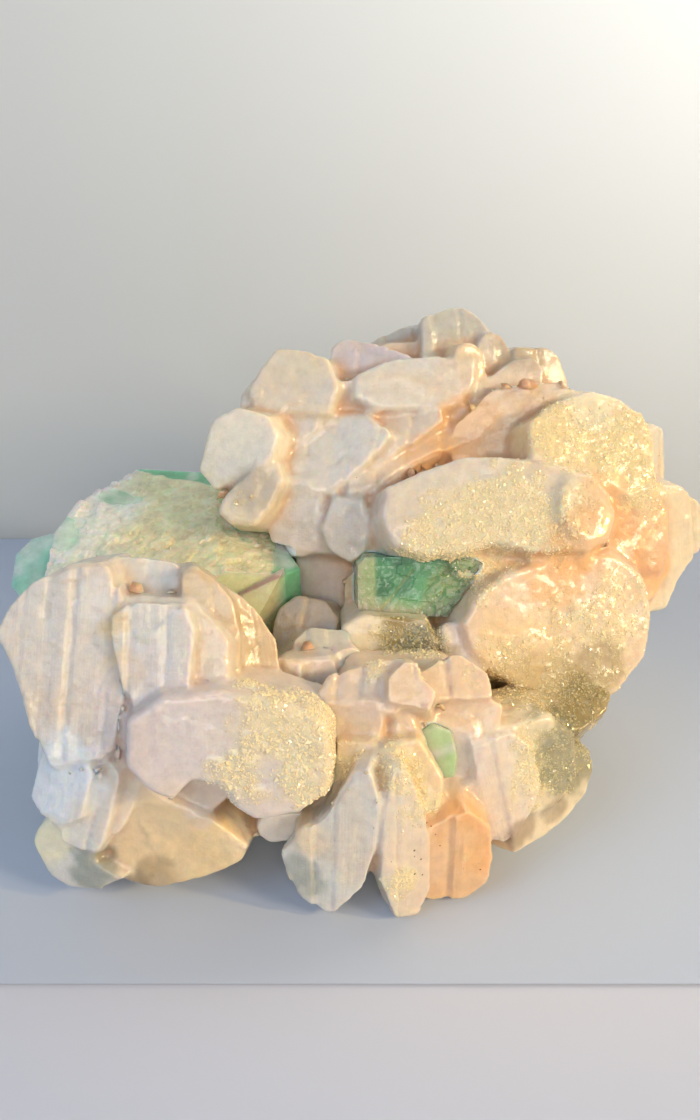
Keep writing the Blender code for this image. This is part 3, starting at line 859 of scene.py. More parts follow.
def stilbite(name, crystals, cell, seed):
    """A skin over the blades, melted together where they meet, with faint ribs and sugary patches."""
    rng = random.Random(seed)
    crystals = [crystal._replace(outline=softened(crystal.outline)) for crystal in crystals]
    bundles = [bundled(crystal, rng) for crystal in crystals]
    skin = grown_together(name, crystals, cell, grow=0.7)
    mesh = skin.data
    points = points_of(mesh)
    for softness in (1.5, 1.1, 0.8, 0.6, 0.5):
        outward = points_of(mesh, "normal")
        away, owner = fused(bundles, points, softness)
        points -= outward * np.clip(away, -1.5, 1.5)[:, None] * 0.85
        move_points(mesh, points)
    points = 0.5 * (points + neighbours_middle(mesh, points, 1))
    move_points(mesh, points)
    outward = points_of(mesh, "normal")

    # Each point's place in the directions of its own crystal, which the ribs follow.
    ribs = np.array([crystal.ribs for crystal in crystals])[owner]
    at = np.array([crystal.at for crystal in crystals])[owner]
    stand = np.array([crystal.stand for crystal in crystals])[owner]
    lie = np.einsum("ni,nij->nj", points - at, stand)
    lie[:, 0] += owner * 31.0

    # Relief, in mm: swells and flat growth steps, then ribs, then the crust, with none at the foot.
    crust = crust_at(points, seed)
    rough = np.clip(1.2 - 2 * ribs, 0.25, 1)
    lift = rough * (0.4 * swells(points, 12, seed + 2) + 0.12 * swells(points, 5, seed + 3))
    lift += 0.12 * steps(points, 5.5, seed + 4) + 0.05 * steps(points, 2.2, seed + 6)
    lift += ribs * 0.14 * steps(lie, (2.8, 40, 9), seed + 5)
    lift += crust * (0.1 + 0.35 * lumps(points, 1.9, seed + 7))
    lift *= ramp(points[:, 2], 0.5, 2.5)
    points += outward * lift[:, None]
    points[:, 2] = np.maximum(points[:, 2], 0.3)
    move_points(mesh, points)

    attribute(mesh, "ribs", "FLOAT", ribs)
    attribute(mesh, "lie", "FLOAT_VECTOR", lie)
    outward = points_of(mesh, "normal")
    # How far each point lies down in a crease; the painted crease shade and edge highlight follow it.
    hollow = ((neighbours_middle(mesh, points, 24) - points) * outward).sum(axis=1)
    attribute(mesh, "tint", "FLOAT_COLOR", colours_at(crystals, points, hollow, crust, seed))
    attribute(mesh, "crust", "FLOAT", crust)
    socketed(skin, GREENS)
    return skin


def stilbite_look():
    made, tree, shader = new_material(
        "pearly_stilbite", Subsurface_Weight=0.8, Subsurface_Scale=0.0026,
        Subsurface_Radius=(1.0, 0.5, 0.26), Coat_Weight=0.45, Coat_Roughness=0.1, IOR=1.5,
    )
    where = add_node(tree, "TexCoord").outputs["Object"]
    tint = add_node(tree, "Attribute", attribute_name="tint").outputs["Color"]
    crust = add_node(tree, "Attribute", attribute_name="crust").outputs["Fac"]
    lie = add_node(tree, "Attribute", attribute_name="lie").outputs["Vector"]
    ribs = add_node(tree, "Attribute", attribute_name="ribs").outputs["Fac"]
    clouded = add_node(
        tree, "Group", node_tree=INNER_VEILS, Vector=where, Color=tint, Per_Metre=380, Detail=5,
        Thin=0.25, Thick=0.75, Darkest=0.9, Lightest=1.1,
    )
    # Tiny dark specks, gathered here and there.
    specks = add_node(tree, "TexVoronoi", Vector=where, Scale=420)
    rare = add_node(tree, "TexNoise", Vector=where, Scale=45, Detail=3)
    few = add_node(
        tree, "MapRange", Value=rare.outputs["Fac"], From_Min=0.52, From_Max=0.68, To_Min=0.3, To_Max=0.0
    )
    spread = worked_out(tree, "ADD", specks.outputs["Distance"], few.outputs["Result"])
    dark = toned(tree, spread, (0.075, (0.2, 0.16, 0.11)), (0.13, (1, 1, 1)))
    specked = worked_out(tree, "MULTIPLY", clouded.outputs["Color"], dark, "VectorMath")
    feed(tree, shader.inputs["Base Color"], specked)
    gloss = add_node(tree, "MapRange", Value=crust, To_Min=0.33, To_Max=0.2)
    feed(tree, shader.inputs["Roughness"], gloss.outputs["Result"])

    # Fine lines along each blade, small flat faces, and a glittering crust.
    squeeze = add_node(tree, "Mapping", Vector=lie, Scale=(2.2, 0.07, 0.7))
    lines = add_node(
        tree, "TexNoise", Vector=squeeze.outputs["Vector"], Scale=1, Detail=4, Roughness=0.6
    )
    ribbed = worked_out(tree, "MULTIPLY", worked_out(tree, "MULTIPLY", lines.outputs["Fac"], ribs), 0.32)
    sparkle = facets(tree, where, 1300, 0.22)
    sugary = facets(tree, where, 950, worked_out(tree, "MULTIPLY", crust, 0.9))
    fine = worked_out(tree, "MULTIPLY", clouded.outputs["Veils"], 0.18)
    blade = worked_out(tree, "ADD", ribbed, sparkle)
    relief = worked_out(tree, "ADD", blade, worked_out(tree, "ADD", sugary, fine))
    bump = add_node(tree, "Bump", Strength=0.7, Distance=0.0007, Height=relief)
    feed(tree, shader.inputs["Normal"], bump.outputs["Normal"])
    return made


STILBITE_LOOK = stilbite_look()
POCKET_BLADES = [
    Crystal((-7, -22, 28), faced(0, 12), 26, block(26, 34), PALE, 0.2),
    Crystal((-7, -31, 42), faced(8, 20), 9,
            [(-5, 5), (-5, -10), (3, -10), (5, -2), (3, 5)], PINK, 0.5, 0.9),
    Crystal((-14, -33, 43), faced(-8, 24), 9,
            [(-4, 3), (-5, -10), (4, -10), (4, 4), (-1, 5)], PALE, 0.5, 0.9),
    Crystal((-6, -22, 45), faced(4, 42), 9,
            [(-8, -1), (-6, -8), (6, -8), (6, 2), (-4, 3)], GREY, 0.5, 0.9),
    Crystal((-1, -28, 39), faced(20, 20), 9, block(9, 18), PALE, 0.4),
    Crystal((-10, -11, 40), faced(-16, 40), 9, block(17, 20), BROWN_GREY, 0.4),
]
pocket = stilbite("stilbite_pocket_blades", POCKET_BLADES, cell=0.6, seed=31)
put_on(pocket, STILBITE_LOOK, "stilbite_pocket_blades")

# Back cluster
# The largest sheaf: thick peach blades that radiate from one middle, shingled on the side that shows,
# with a sugary slab, a gold block and a round plate in front. It grew on the rock.

CREAM = (0.74, 0.63, 0.45)
WARM_WHITE = (0.86, 0.76, 0.58)


def disc(width, length, sides=12):
    """A rounded plate."""
    turns = [2 * math.pi * (i + 0.5) / sides for i in range(sides)]
    return [(math.cos(t) * width / 2, math.sin(t) * length / 2) for t in turns]


DRUSE_SLAB = [
    (-31, -3), (-28, -11), (-20, -14), (-9, -13), (0, -11), (11, -14), (25, -14), (31, -3), (28, 6),
    (18, 10), (5, 13), (-7, 13), (-20, 9), (-29, 5),
]
GOLD_BLOCK = [
    (-23, -3), (-6, -12), (5, -18), (13, -16), (15, -3), (13, 6), (7, 11), (-2, 14), (-12, 12),
    (-22, 7),
]
ROUND_PLATE = [
    (-25, -2), (-17, -11), (-8, -17), (4, -22), (16, -20), (25, -12), (29, 0), (27, 11), (19, 18),
    (3, 19), (-11, 17), (-21, 12), (-26, 5),
]
FLAKE = [(-14, -18), (-5, -19), (-1, -12), (6, -5), (11, 1), (9, 9), (3, 16), (-5, 18), (-14, 18)]
LEFT_SHINGLE = [(-11, -8), (-6, -12), (2, -12), (10, -2), (15, 7), (8, 12), (-2, 11), (-8, 4)]
MIDDLE_SHINGLE = [(-12, -15), (-4, -14), (6, -2), (15, 7), (13, 12), (0, 12), (-9, 9), (-11, 0)]
RIGHT_SHINGLE = [(-20, -17), (-13, -15), (-4, -7), (12, 2), (13, 8), (7, 12), (-3, 11), (-13, 1)]
BACK_CLUSTER = [
    Crystal((32, 20, 42), faced(180, 0), 52, disc(70, 66, 10), PEACH, 0, 0.6, 0),
    Crystal((8, 29, 75), faced(180, -12), 34, disc(52, 40, 9), PEACH, 0, 0.6, 0),
    Crystal((46, 26, 76), faced(180, -16), 34, disc(44, 34, 9), PEACH, 0, 0.6, 0),
    Crystal((47, -13, 44), faced(16, 24), 15, ROUND_PLATE, PEACH, 0.15, 0.88, 1.2),
    Crystal((33, 0, 68), faced(4, 38), 22, DRUSE_SLAB, PALE, 0.15, 0.86, 1.4),
    Crystal((59, 14, 79), faced(16, 36), 22, GOLD_BLOCK, GOLD, 0.15, 0.86, 1.2),
    Crystal((67, 6, 62), faced(22, 24), 18,
            [(-10, -9), (6, -15), (10, -4), (11, 3), (6, 9), (-5, 10), (-13, 3)], DEEP_PEACH, 0.1),
    Crystal((74, 16, 73), faced(58, 8), 8, block(16, 26), CREAM, 0.3),
    Crystal((80, 8, 57), faced(30, 14), 11, FLAKE, CREAM, 0.7),
    Crystal((25, 36, 102), faced(12, 30), 14,
            [(-9, -15), (9, -15), (10, -1), (7, 4), (3, 7), (-2, 6), (-8, 4)], GREY, 0.3),
    Crystal((11, 42, 98), faced(-10, 24), 9,
            [(-9, -10), (8, -10), (8, 6), (3, 5), (-3, 1), (-8, -3)], GREY, 0.3),
    Crystal((35, 31, 99), faced(12, 24), 9,
            [(-4, -12), (4, -12), (5, 0), (3, 5), (-1, 6), (-4, 2)], PALE, 0.3, 0.86, 1.2),
    Crystal((47, 35, 94), faced(16, 20), 16,
            [(-9, -14), (8, -14), (7, -4), (5, 2), (2, 5), (-8, 6)], CREAM, 0.3),
    Crystal((-12, 24, 94), faced(-12, 28), 17,
            [(-13, -6), (-10, -11), (11, -11), (13, -3), (9, 5), (1, 7), (-6, 7), (-10, 1)], CREAM, 0.15),
    Crystal((5, 30, 97), faced(-8, 34), 12,
            [(-7, -12), (9, -10), (12, 0), (4, 3), (-6, 5), (-10, 2)], LILAC, 0.3),
    Crystal((16, 22, 93), faced(4, 30), 14,
            [(-18, -4), (-12, -8), (10, -8), (16, -2), (17, 6), (4, 7), (-7, 6), (-17, 2)], WHITE, 0.25),
    Crystal((28, 24, 96), faced(20, 24), 12, block(9, 15), GOLD, 0.2),
    Crystal((39, 24, 91), faced(10, 30), 12,
            [(-12, -4), (-8, -8), (1, -6), (9, -1), (11, 4), (8, 8), (2, 8), (-10, 0)], PALE, 0.25),
    Crystal((-3.5, 11, 78.5), faced(-16, 38), 10, LEFT_SHINGLE, WHITE, 0.4),
    Crystal((8.7, 13, 81), faced(-12, 42), 9, MIDDLE_SHINGLE, PALE, 0.4),
    Crystal((20, 13, 79.5), faced(-4, 50), 9, RIGHT_SHINGLE, PEACH, 0.4),
    Crystal((-24, 14, 79), faced(-22, 24), 20,
            [(-11, -8), (-5, -13), (3, -8), (11, -3), (12, 5), (8, 10), (-2, 11), (-9, 6)],
            WARM_WHITE, 0.2),
    Crystal((-11, 19, 82), faced(-10, 30), 13,
            [(-8, -8), (3, -10), (8, -2), (7, 6), (-3, 7), (-8, 4)], PALE, 0.2),
    Crystal((-23, 4, 71), faced(-10, 30), 12,
            [(-9, -6), (-5, -9), (2, -9), (6, -4), (9, 4), (7, 9), (2, 8), (-7, -1)], CREAM, 0.2),
    Crystal((-12, 8, 64), faced(-10, 20), 16, block(14, 22), WHITE, 0.2),
    Crystal((0, 1, 63), faced(-12, 24), 12,
            [(-7, 0), (-4, -6), (2, -9), (6, -6), (7, 1), (4, 9), (-4, 9)], WHITE, 0.2),
    Crystal((-6, 6, 49), faced(-8, 10), 12,
            [(-8, -10), (8, -12), (8, 0), (6, 8), (1, 10), (-7, 8)], PINK, 0.3),
    Crystal((9, -17, 42), faced(-2, 20), 18,
            [(-12, -7), (0, -9), (12, -8), (13, 2), (10, 8), (-7, 9), (-12, 6)], CREAM, 0.1),
    Crystal((24, -19, 43), faced(10, 34), 12,
            [(-5, 0), (-2, -8), (6, -10), (9, -5), (6, 1), (2, 5), (-3, 5)], LILAC, 0.1),
    Crystal((42, -4, 60), faced(8, 30), 12, block(46, 14), ORANGE, 0),
    Crystal((53, -2, 68), faced(22, 36), 18, disc(19, 23, 9), CREAM, 0.1, 0.8, 2),
    Crystal((-6, 8, 66), faced(-8, 26), 14, block(32, 26), PINK, 0),
    Crystal((-16, 20, 86), faced(-12, 28), 14, block(24, 18), PALE, 0),
    Crystal((20, 34, 90), faced(6, 28), 14, block(38, 22), PEACH, 0),
    Crystal((66, 2, 58), faced(24, 20), 14, block(26, 32), ORANGE, 0),
]


def pointed(width, length, rise=0.35):
    """A blade with a roof-shaped tip."""
    x, y = width / 2, length / 2
    h = rise * width
    right = [(x * 0.8, -y), (x, h - y), (x, y - h), (x * 0.25, y)]
    return right + [(-a, b) for a, b in reversed(right)]


def grown(along, spin=0):
    """Length along the given direction, turned about it by spin."""
    up = Vector(along).normalized()
    side = up.cross(Vector((0.13, -1, 0.21))).normalized()
    standing = Matrix((side, up, side.cross(up))).transposed()
    return Matrix.Rotation(math.radians(spin), 3, up) @ standing


def radiating(count, core, reach, size, azimuths, rises, spin, seed):
    """A ring of blades that point away from a core, for the sides that the front view doesn't show."""
    rng = random.Random(seed)
    made = []
    for i in range(count):
        share = (i + rng.uniform(0.3, 0.7)) / count
        azimuth = math.radians(azimuths[0] + (azimuths[1] - azimuths[0]) * share)
        rise = math.radians(rng.uniform(*rises))
        level = Vector((math.sin(azimuth), math.cos(azimuth), 0))
        along = level * math.cos(rise) + Vector((0, 0, math.sin(rise)))
        width, length, thick = (side * rng.uniform(0.85, 1.2) for side in size)
        tip = Vector(core) + Vector(a * r for a, r in zip(along, reach))
        outline = rng.choice((block, pointed))(width, length)
        place = tuple(tip - along * length / 2)
        tint = rng.choice((PEACH, PALE, CREAM, PEACH))
        made.append(Crystal(place, grown(along, rng.uniform(*spin)), thick, outline, tint, 0.45, 0.86, 1.4))
    return made


SEED = 11
# Rings from the top down: how many, their middle, how far they reach, their size, and their angles.
BACK_BLADES = (
    radiating(7, (26, 18, 50), (50, 45, 54), (24, 34, 13), (-80, 74), (46, 58), (-10, 20), SEED)
    + radiating(8, (24, 18, 50), (52, 47, 50), (27, 35, 15), (-92, 86), (16, 30), (50, 80), SEED + 1)
    + radiating(6, (28, 16, 46), (47, 48, 42), (27, 33, 16), (-40, 96), (-8, 4), (0, 40), SEED + 2)
    + radiating(3, (28, 12, 40), (44, 44, 38), (24, 30, 15), (56, 126), (-28, -18), (40, 90), SEED + 3)
)


def turned_at_random(rng, count):
    """As many rotation matrices, in any direction alike."""
    turn = rng.normal(size=(count, 4))
    turn /= np.linalg.norm(turn, axis=1)[:, None]
    w, x, y, z = turn.T
    return np.stack([
        1 - 2 * (y * y + z * z), 2 * (x * y - w * z), 2 * (x * z + w * y),
        2 * (x * y + w * z), 1 - 2 * (x * x + z * z), 2 * (y * z - w * x),
        2 * (x * z - w * y), 2 * (y * z + w * x), 1 - 2 * (x * x + y * y),
    ], axis=1).reshape(-1, 3, 3)


def one_grain():
    """The points and faces of one eight-sided grain."""
    bm = bmesh.new()
    bmesh.ops.create_uvsphere(bm, u_segments=4, v_segments=2, radius=1.25)
    bmesh.ops.scale(bm, verts=bm.verts, vec=(1, 0.8, 1.2))
    points = np.array([v.co[:] for v in bm.verts])
    faces = np.array([[v.index for v in f.verts] for f in bm.faces])
    bm.free()
    return points, faces


def sugar_grains(name, skin, per_square_mm, seed):
    """Tiny eight-sided crystals, set at random in the skin's sugary patches, as one mesh."""
    rng = np.random.default_rng(seed)
    mesh = skin.data
    mesh.calc_loop_triangles()
    corners = np.empty(len(mesh.loop_triangles) * 3, np.int32)
    mesh.loop_triangles.foreach_get("vertices", corners)
    corners = corners.reshape(-1, 3)
    at = points_of(mesh)
    outward = points_of(mesh, "normal")
    crust = np.empty(len(at), np.float32)
    mesh.attributes["crust"].data.foreach_get("value", crust)
    tint = np.empty(len(at) * 4, np.float32)
    mesh.attributes["tint"].data.foreach_get("color", tint)
    a, b, c = at[corners[:, 0]], at[corners[:, 1]], at[corners[:, 2]]
    area = np.linalg.norm(np.cross(b - a, c - a), axis=1) / 2 * crust[corners].mean(axis=1) ** 1.5
    count = int(area.sum() * per_square_mm)
    chosen = rng.choice(len(area), count, p=area / area.sum())
    u, v = rng.random((2, count, 1))
    flip = u + v > 1
    u, v = np.where(flip, 1 - u, u), np.where(flip, 1 - v, v)
    spot = a[chosen] + u * (b - a)[chosen] + v * (c - a)[chosen]
    first = corners[chosen, 0]
    size = 0.16 + 0.22 * rng.random(count) ** 2 + 0.3 * (rng.random(count) > 0.975)
    spot -= outward[first] * (size * 0.35)[:, None]
    grain, faces = one_grain()
    turned = np.einsum("nij,kj->nki", turned_at_random(rng, count), grain)
    place = spot[:, None, :] + turned * size[:, None, None]
    where = ((place.reshape(-1, 3) - np.array(CENTRE)) * MM).tolist()
    rows = (faces[None] + (np.arange(count) * len(grain))[:, None, None]).reshape(-1, 3).tolist()
    made = bpy.data.meshes.new(name)
    made.from_pydata(where, [], rows)
    # Each grain takes the skin's colour under it, painted crease shade and edge highlight included, mixed
    # with sugar gold.
    lit = tint.reshape(-1, 4)[first] * 0.75 + np.array((*SUGAR_GOLD, 1)) * 0.25
    lit = lit * (1.05, 1.05, 1.0, 0) + (0, 0, 0, 1)
    attribute(made, "tint", "FLOAT_COLOR", np.repeat(np.clip(lit, 0, 1), len(grain), axis=0))
    return new_object(name, made)


def sugar_look():
    made, tree, shader = new_material(
        "sugar_crystals", Roughness=0.16, IOR=1.5, Coat_Weight=0.4, Coat_Roughness=0.08
    )
    tint = add_node(tree, "Attribute", attribute_name="tint")
    feed(tree, shader.inputs["Base Color"], tint.outputs["Color"])
    return made


SUGAR_LOOK = sugar_look()


def put_grains(skin, per_square_mm, seed):
    grains = sugar_grains(skin.name.replace("stilbite", "sugar"), skin, per_square_mm, seed)
    put_on(grains, SUGAR_LOOK, None)
    grains.data.shade_flat()


back = stilbite("stilbite_back_cluster", BACK_CLUSTER + BACK_BLADES, cell=0.8, seed=41)
put_on(back, STILBITE_LOOK, "stilbite_back_cluster")
put_grains(back, per_square_mm=4.2, seed=42)

# Front cluster
# A low fan of blades and teeth in front of the rest, with a green-grey sugary shelf at its right. It
# grew on the rock's foot and stands a hair above the table.

SHELF = [(-18, -13), (-8, -12), (0, -10), (7, -6), (11, 1), (10, 8), (-2, 12), (-12, 14), (-19, 6)]
LEDGE = [(-14, -4), (4, -6), (14, -2), (17, 3), (10, 8), (-8, 8), (-15, 3)]
TOOTH = [
    (-10, 2), (-8, -4), (-5, -9), (1, -13), (4, -9), (8, -4), (10, 6), (11, 18), (9, 26), (5, 24),
    (0, 14), (-5, 8),
]
PEG = [(-5, -4), (-2, -15), (3, -16), (6, -10), (6, 3), (4, 14), (1, 24), (-2, 24), (-4, 12)]
SKIRT = [(-9, -3), (-4, -8), (4, -8), (9, -4), (10, 4), (9, 14), (3, 20), (-5, 16), (-9, 6)]
RIGHT_BLADE = [(-6, 13), (-6, -3), (-7, -11), (-2, -14), (4, -9), (8, -3), (8, 6), (4, 12)]
FRONT_CLUSTER = [
    Crystal((16, -33, 24), faced(0, 10), 34, disc(46, 38, 10), PEACH, 0.1, 0.84, 4),
    Crystal((4, -42, 48), faced(-10, 40), 9,
            [(-11, -8), (8, -9), (10, 0), (9, 5), (2, 4), (-8, -1)], PEACH, 0.3),
    Crystal((12, -45, 49), faced(0, 36), 9,
            [(-5, -6), (5, -8), (7, -3), (3, 1), (2, 5), (-1, 5), (-5, 1)], PEACH, 0.3, 0.8, 1.2),
    Crystal((22, -38, 45), faced(10, 46), 10,
            [(-8, -1), (-6, -6), (8, -7), (8, -1), (2, 5), (-1, 5), (-6, 2)], PEACH, 0.3),
    Crystal((23, -41, 38), faced(6, 28), 10,
            [(-11, 0), (-8, -4), (6, -5), (10, -3), (11, 2), (7, 4), (-3, 5), (-9, 3)], PEACH, 0.3),
    Crystal((2, -46, 41), faced(-12, 20), 10,
            [(-9, 3), (-6, -3), (-4, -9), (3, -8), (7, -1), (6, 6), (-3, 5)], PEACH, 0.4),
    Crystal((11, -47, 41), faced(6, 24), 7,
            [(-3, -3), (1, -7), (6, -6), (1, 4), (-2, 4)], PEACH, 0.2, 0.8, 1),
    Crystal((2, -51, 32), faced(-10, 20), 11, [(-6, -9), (0, -8), (6, 1), (4, 8), (-5, 7)], GOLD, 0.2),
    Crystal((11, -51, 34), faced(0, 22), 12,
            [(-8, 0), (-1, -6), (3, -12), (9, -11), (10, -4), (7, 1), (4, 6), (-4, 5)], GOLD, 0.1),
    Crystal((32, -44, 23), faced(18, 16, -8), 14, RIGHT_BLADE, PINK, 0.6, 0.98),
    Crystal((19, -47, 19), faced(6, 10), 14,
            [(-7, 6), (-8, -5), (-4, -9), (2, -8), (7, -2), (7, 5), (1, 8)], PEACH, 0.2),
    Crystal((44, -34, 16), faced(32, 12), 20, SHELF, CREAM, 0.1, 0.86, 1.2),
    Crystal((48, -28, 26), faced(20, 56), 12, LEDGE, GREEN_GREY, 0.1),
    Crystal((21, -54, 8), faced(8, 2), 12, SKIRT, ORANGE, 0.5),
    Crystal((10, -60, 15.5), faced(20, 6), 9, PEG, PALE, 0.5, 0.98),
    Crystal((-4, -58, 13.5), faced(-12, 6), 12, TOOTH, WHITE, 0.7, 0.98),
    Crystal((17, -56, 18), faced(34, 10, 14), 4, pointed(9, 24), PALE, 0.5),
    Crystal((24, -53, 18), faced(10, 20, 24), 4, pointed(8, 22), PEACH, 0.5),
    Crystal((-8, -58, 20), faced(0, 10), 9, disc(9, 8, 8), GOLD, 0.1),
    Crystal((5, -49, 16), faced(0, 4), 8, block(12, 26), ORANGE, 0.4),
    Crystal((11, -38, 36), faced(0, 20), 14, block(36, 26), PEACH, 0.2),
    Crystal((6, -51, 19), faced(0, 4), 8, block(32, 20), PEACH, 0.2),
    Crystal((36, -38, 24), faced(22, 14), 18, block(30, 26), CREAM, 0.1),
]
front = stilbite("stilbite_front_cluster", FRONT_CLUSTER, cell=0.6, seed=51)
put_on(front, STILBITE_LOOK, "stilbite_front_cluster")
put_grains(front, per_square_mm=4.8, seed=52)

# Left cluster
# A sheaf of long pale blades side by side, which lean on the large green crystal, with a sugary block
# across their foot and two rounded feet under it.

AMBER = (0.58, 0.43, 0.25)
GREAT_BLADE = [
    (-14, 3), (-9, -5), (-4, -19), (1, -28), (14, -25), (16, -8), (15, 12), (10, 22), (2, 21),
    (-7, 16), (-12, 9),
]
LOBED_BLADE = [(-8, 2), (-6, -7), (-3, -16), (9, -14), (10, 3), (8, 9), (-4, 9), (-8, 6)]
GOLDEN_BLADE = [(-5, -18), (6, -18), (7, -5), (6, 4), (2, 10), (-2, 13), (-5, 12)]
EDGE_BLADE = [(-5, -16), (6, -14), (7, -4), (4, 4), (1, 9), (-5, 14)]
DRUSE_BLOCK = [
    (-26, -4), (-21, -10), (-15, -13), (-10, -8), (-3, -9), (0, -15), (5, -18), (15, -16), (22, -11),
    (23, -3), (22, 5), (18, 9), (9, 12), (-3, 14), (-17, 13), (-25, 7),
]
PEACH_FOOT = [
    (-17, 10), (-16, -3), (-13, -11), (-4, -13), (9, -9), (18, -4), (20, 1), (10, 9), (-2, 15),
    (-11, 21), (-16, 19),
]
ROUND_FOOT = [(-10, 0), (-6, -9), (0, -12), (9, -11), (17, -6), (9, -2), (7, 12), (0, 12), (-6, 8), (-9, 4)]
LEFT_CLUSTER = [
    Crystal((-61, -40, 54), faced(-8, 30), 15, GREAT_BLADE, PALE, 0.5),
    Crystal((-45, -29, 65), faced(-4, 38), 12,
            [(-10, -12), (9, -12), (10, -1), (8, 4), (-5, 5), (-10, 0)], WHITE, 0.5),
    Crystal((-41, -43, 58), faced(-4, 30), 13, LOBED_BLADE, WHITE, 0.5),
    Crystal((-31, -37, 60), faced(10, 30), 12, GOLDEN_BLADE, AMBER, 0.6),
    Crystal((-24, -35, 55), faced(22, 30), 10, EDGE_BLADE, AMBER, 0.6),
    Crystal((-24, -52, 40), faced(2, 18), 18, DRUSE_BLOCK, PINK, 0.15, 0.85, 1.6),
    Crystal((-38, -48, 14), faced(-4, 8), 22, PEACH_FOOT, GOLD, 0.25, 0.85, 1.2),
    Crystal((-60, -50, 12.9), faced(-14, 8), 18, ROUND_FOOT, WHITE, 0.2, 0.8, 1.4),
    Crystal((-59, -51, 29), faced(-20, 20), 14,
            [(-5, 8), (-8, -6), (-1, -12), (6, -8), (8, 4), (4, 10)], WHITE, 0.5),
    Crystal((-54, -54, 26), faced(-12, 20, 12), 10, pointed(11, 26), WHITE, 0.4),
    Crystal((-62, -52, 31), faced(-24, 22, -6), 9, pointed(8, 22), BLUE_WHITE, 0.4),
    Crystal((-49, -53, 29), faced(0, 18, 24), 8, pointed(9, 24), PINK, 0.4),
    Crystal((-46, -34, 38), faced(0, 14), 26, block(32, 42, 0.3), PALE, 0.2),
    Crystal((-14, -51, 18), faced(0, 10, 84), 12, block(8, 14, 0.3), PALE, 0.2),
    Crystal((-42, -47, 31), faced(-4, 16), 13, block(40, 30, 0.3), PEACH, 0.2),
    Crystal((-45, -42, 51), faced(-4, 29), 14, block(46, 34), PALE, 0.2),
    Crystal((-60, -55, 37), faced(-24, 14, 10), 3, pointed(3.4, 15), BLUE_WHITE, 0.4, 0.8, 0.4),
    Crystal((-63, -54, 33), faced(-36, 16, -4), 3, pointed(3, 13), BLUE_WHITE, 0.4, 0.8, 0.4),
    Crystal((-56, -56, 33), faced(-6, 10, 16), 3, pointed(3, 13), TIP_WHITE_AND_EDGE_SHEEN, 0.4, 0.8, 0.4),
]
left = stilbite("stilbite_left_cluster", LEFT_CLUSTER, cell=0.6, seed=61)
put_on(left, STILBITE_LOOK, "stilbite_left_cluster")
put_grains(left, per_square_mm=4.8, seed=62)

# Floor, backdrop, light and camera
# A sheet of pale paper on a pale table with a wall close behind, lit by soft windows, a warm low sun
# from the right and a lamp on the wall. None of it is part of the specimen.

PAPER_EDGE, WALL_FOOT = -0.082, 0.131
FLOOR_END = WALL_FOOT - 0.005
PAPER_THICK = 0.0006


def stage_plane(name, low, high, colour, see_through_behind=False):
    """A flat quadrilateral from corner to corner, in one matt colour."""
    bm = bmesh.new()
    bmesh.ops.create_grid(bm, x_segments=1, y_segments=1, size=0.5)
    plane = mesh_object(name, bm)
    plane.data.transform(Matrix.Diagonal((high[0] - low[0], high[1] - low[1], 1, 1)))
    plane.data.transform(Matrix.Translation(((low[0] + high[0]) / 2, (low[1] + high[1]) / 2, low[2])))
    made, tree, shader = new_material(name, Base_Color=(*colour, 1), Roughness=0.9)
    if see_through_behind:
        back_side = add_node(tree, "NewGeometry").outputs["Backfacing"]
        mix = add_node(tree, "MixShader", Fac=back_side)
        feed(tree, mix.inputs[1], shader.outputs["BSDF"])
        feed(tree, mix.inputs[2], add_node(tree, "BsdfTransparent").outputs["BSDF"])
        feed(tree, tree.nodes["Material Output"].inputs["Surface"], mix.outputs["Shader"])
    plane.data.materials.append(made)
    return plane


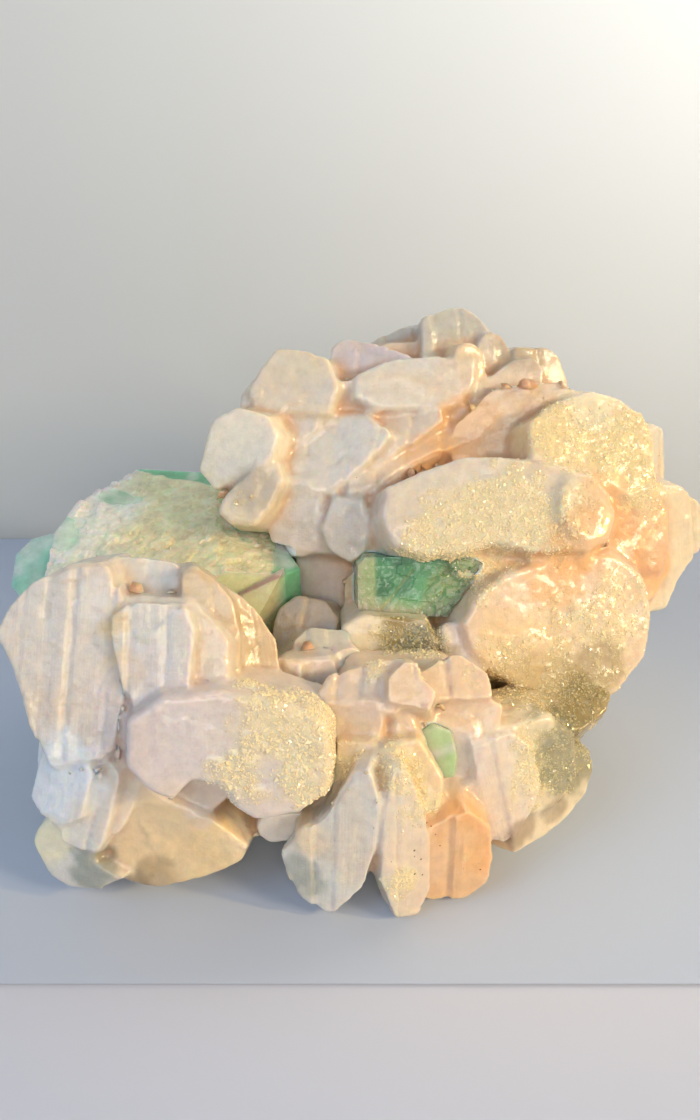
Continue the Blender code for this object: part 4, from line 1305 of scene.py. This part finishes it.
stage_plane("paper", (-2, PAPER_EDGE, 0), (2, FLOOR_END, 0), (0.52, 0.57, 0.67))
stage_plane("table", (-2, -3, -PAPER_THICK), (2, FLOOR_END, -PAPER_THICK), (0.62, 0.63, 0.70))
wall = stage_plane("wall", (-2, -0.05, 0), (2, 1.6, 0), (0.66, 0.65, 0.61), see_through_behind=True)
wall.data.transform(Matrix.Translation((0, WALL_FOOT, 0)) @ Matrix.Rotation(math.radians(90), 4, "X"))


def lit_from(name, kind, at, towards, power, colour, **values):
    """A light of the given kind at a place, pointing to a spot."""
    light = bpy.data.lights.new(name, kind)
    light.energy = power
    light.color = colour
    for key, value in values.items():
        setattr(light, key, value)
    obj = new_object(name, light)
    obj.location = at
    obj.rotation_euler = (Vector(towards) - Vector(at)).to_track_quat("-Z", "Y").to_euler()


def window(name, at, size, power, colour):
    """A round soft light that points at the specimen."""
    lit_from(name, "AREA", at, (0, 0, 0.05), power, colour, shape="DISK", size=size)


def beam(name, at, towards, cone, soft, power, colour):
    """A light with a soft-edged cone."""
    lit_from(
        name, "SPOT", at, towards, power, colour, shadow_soft_size=soft, spot_size=math.radians(cone),
        spot_blend=0.7,
    )


window("front_window", (0, -0.9, 0.5), 0.6, 3.5, (1.0, 0.93, 0.82))
window("right_window", (0.62, -0.46, 0.42), 0.24, 3.0, (1.0, 0.84, 0.62))
window("cool_fill", (-0.6, -0.5, 0.6), 0.7, 2.6, (0.46, 0.68, 1.0))
beam("low_sun", (0.80, -0.30, 0.38), (0.03, -0.03, 0.045), 14, 0.035, 15, (1.0, 0.70, 0.26))
beam("wall_light", (0.42, -0.12, 0.45), (0.27, 0.137, 0.36), 70, 0.1, 21, (0.96, 1.0, 1.0))
world = bpy.data.worlds.new("room")
world.use_nodes = True
world.node_tree.nodes["Background"].inputs["Color"].default_value = (0.70, 0.82, 1.0, 1)
world.node_tree.nodes["Background"].inputs["Strength"].default_value = 0.2
bpy.context.scene.world = world

CAMERA_AT = (-0.0023, -0.235, 0.175)
CAMERA_DOWN = 27  # degrees
lens = bpy.data.cameras.new("camera")
lens.lens = 34
lens.sensor_width = 36
camera = new_object("camera", lens)
camera.location = CAMERA_AT
camera.rotation_euler = (math.radians(90 - CAMERA_DOWN), 0, 0)
bpy.context.scene.camera = camera
bpy.context.scene.view_settings.view_transform = "Standard"
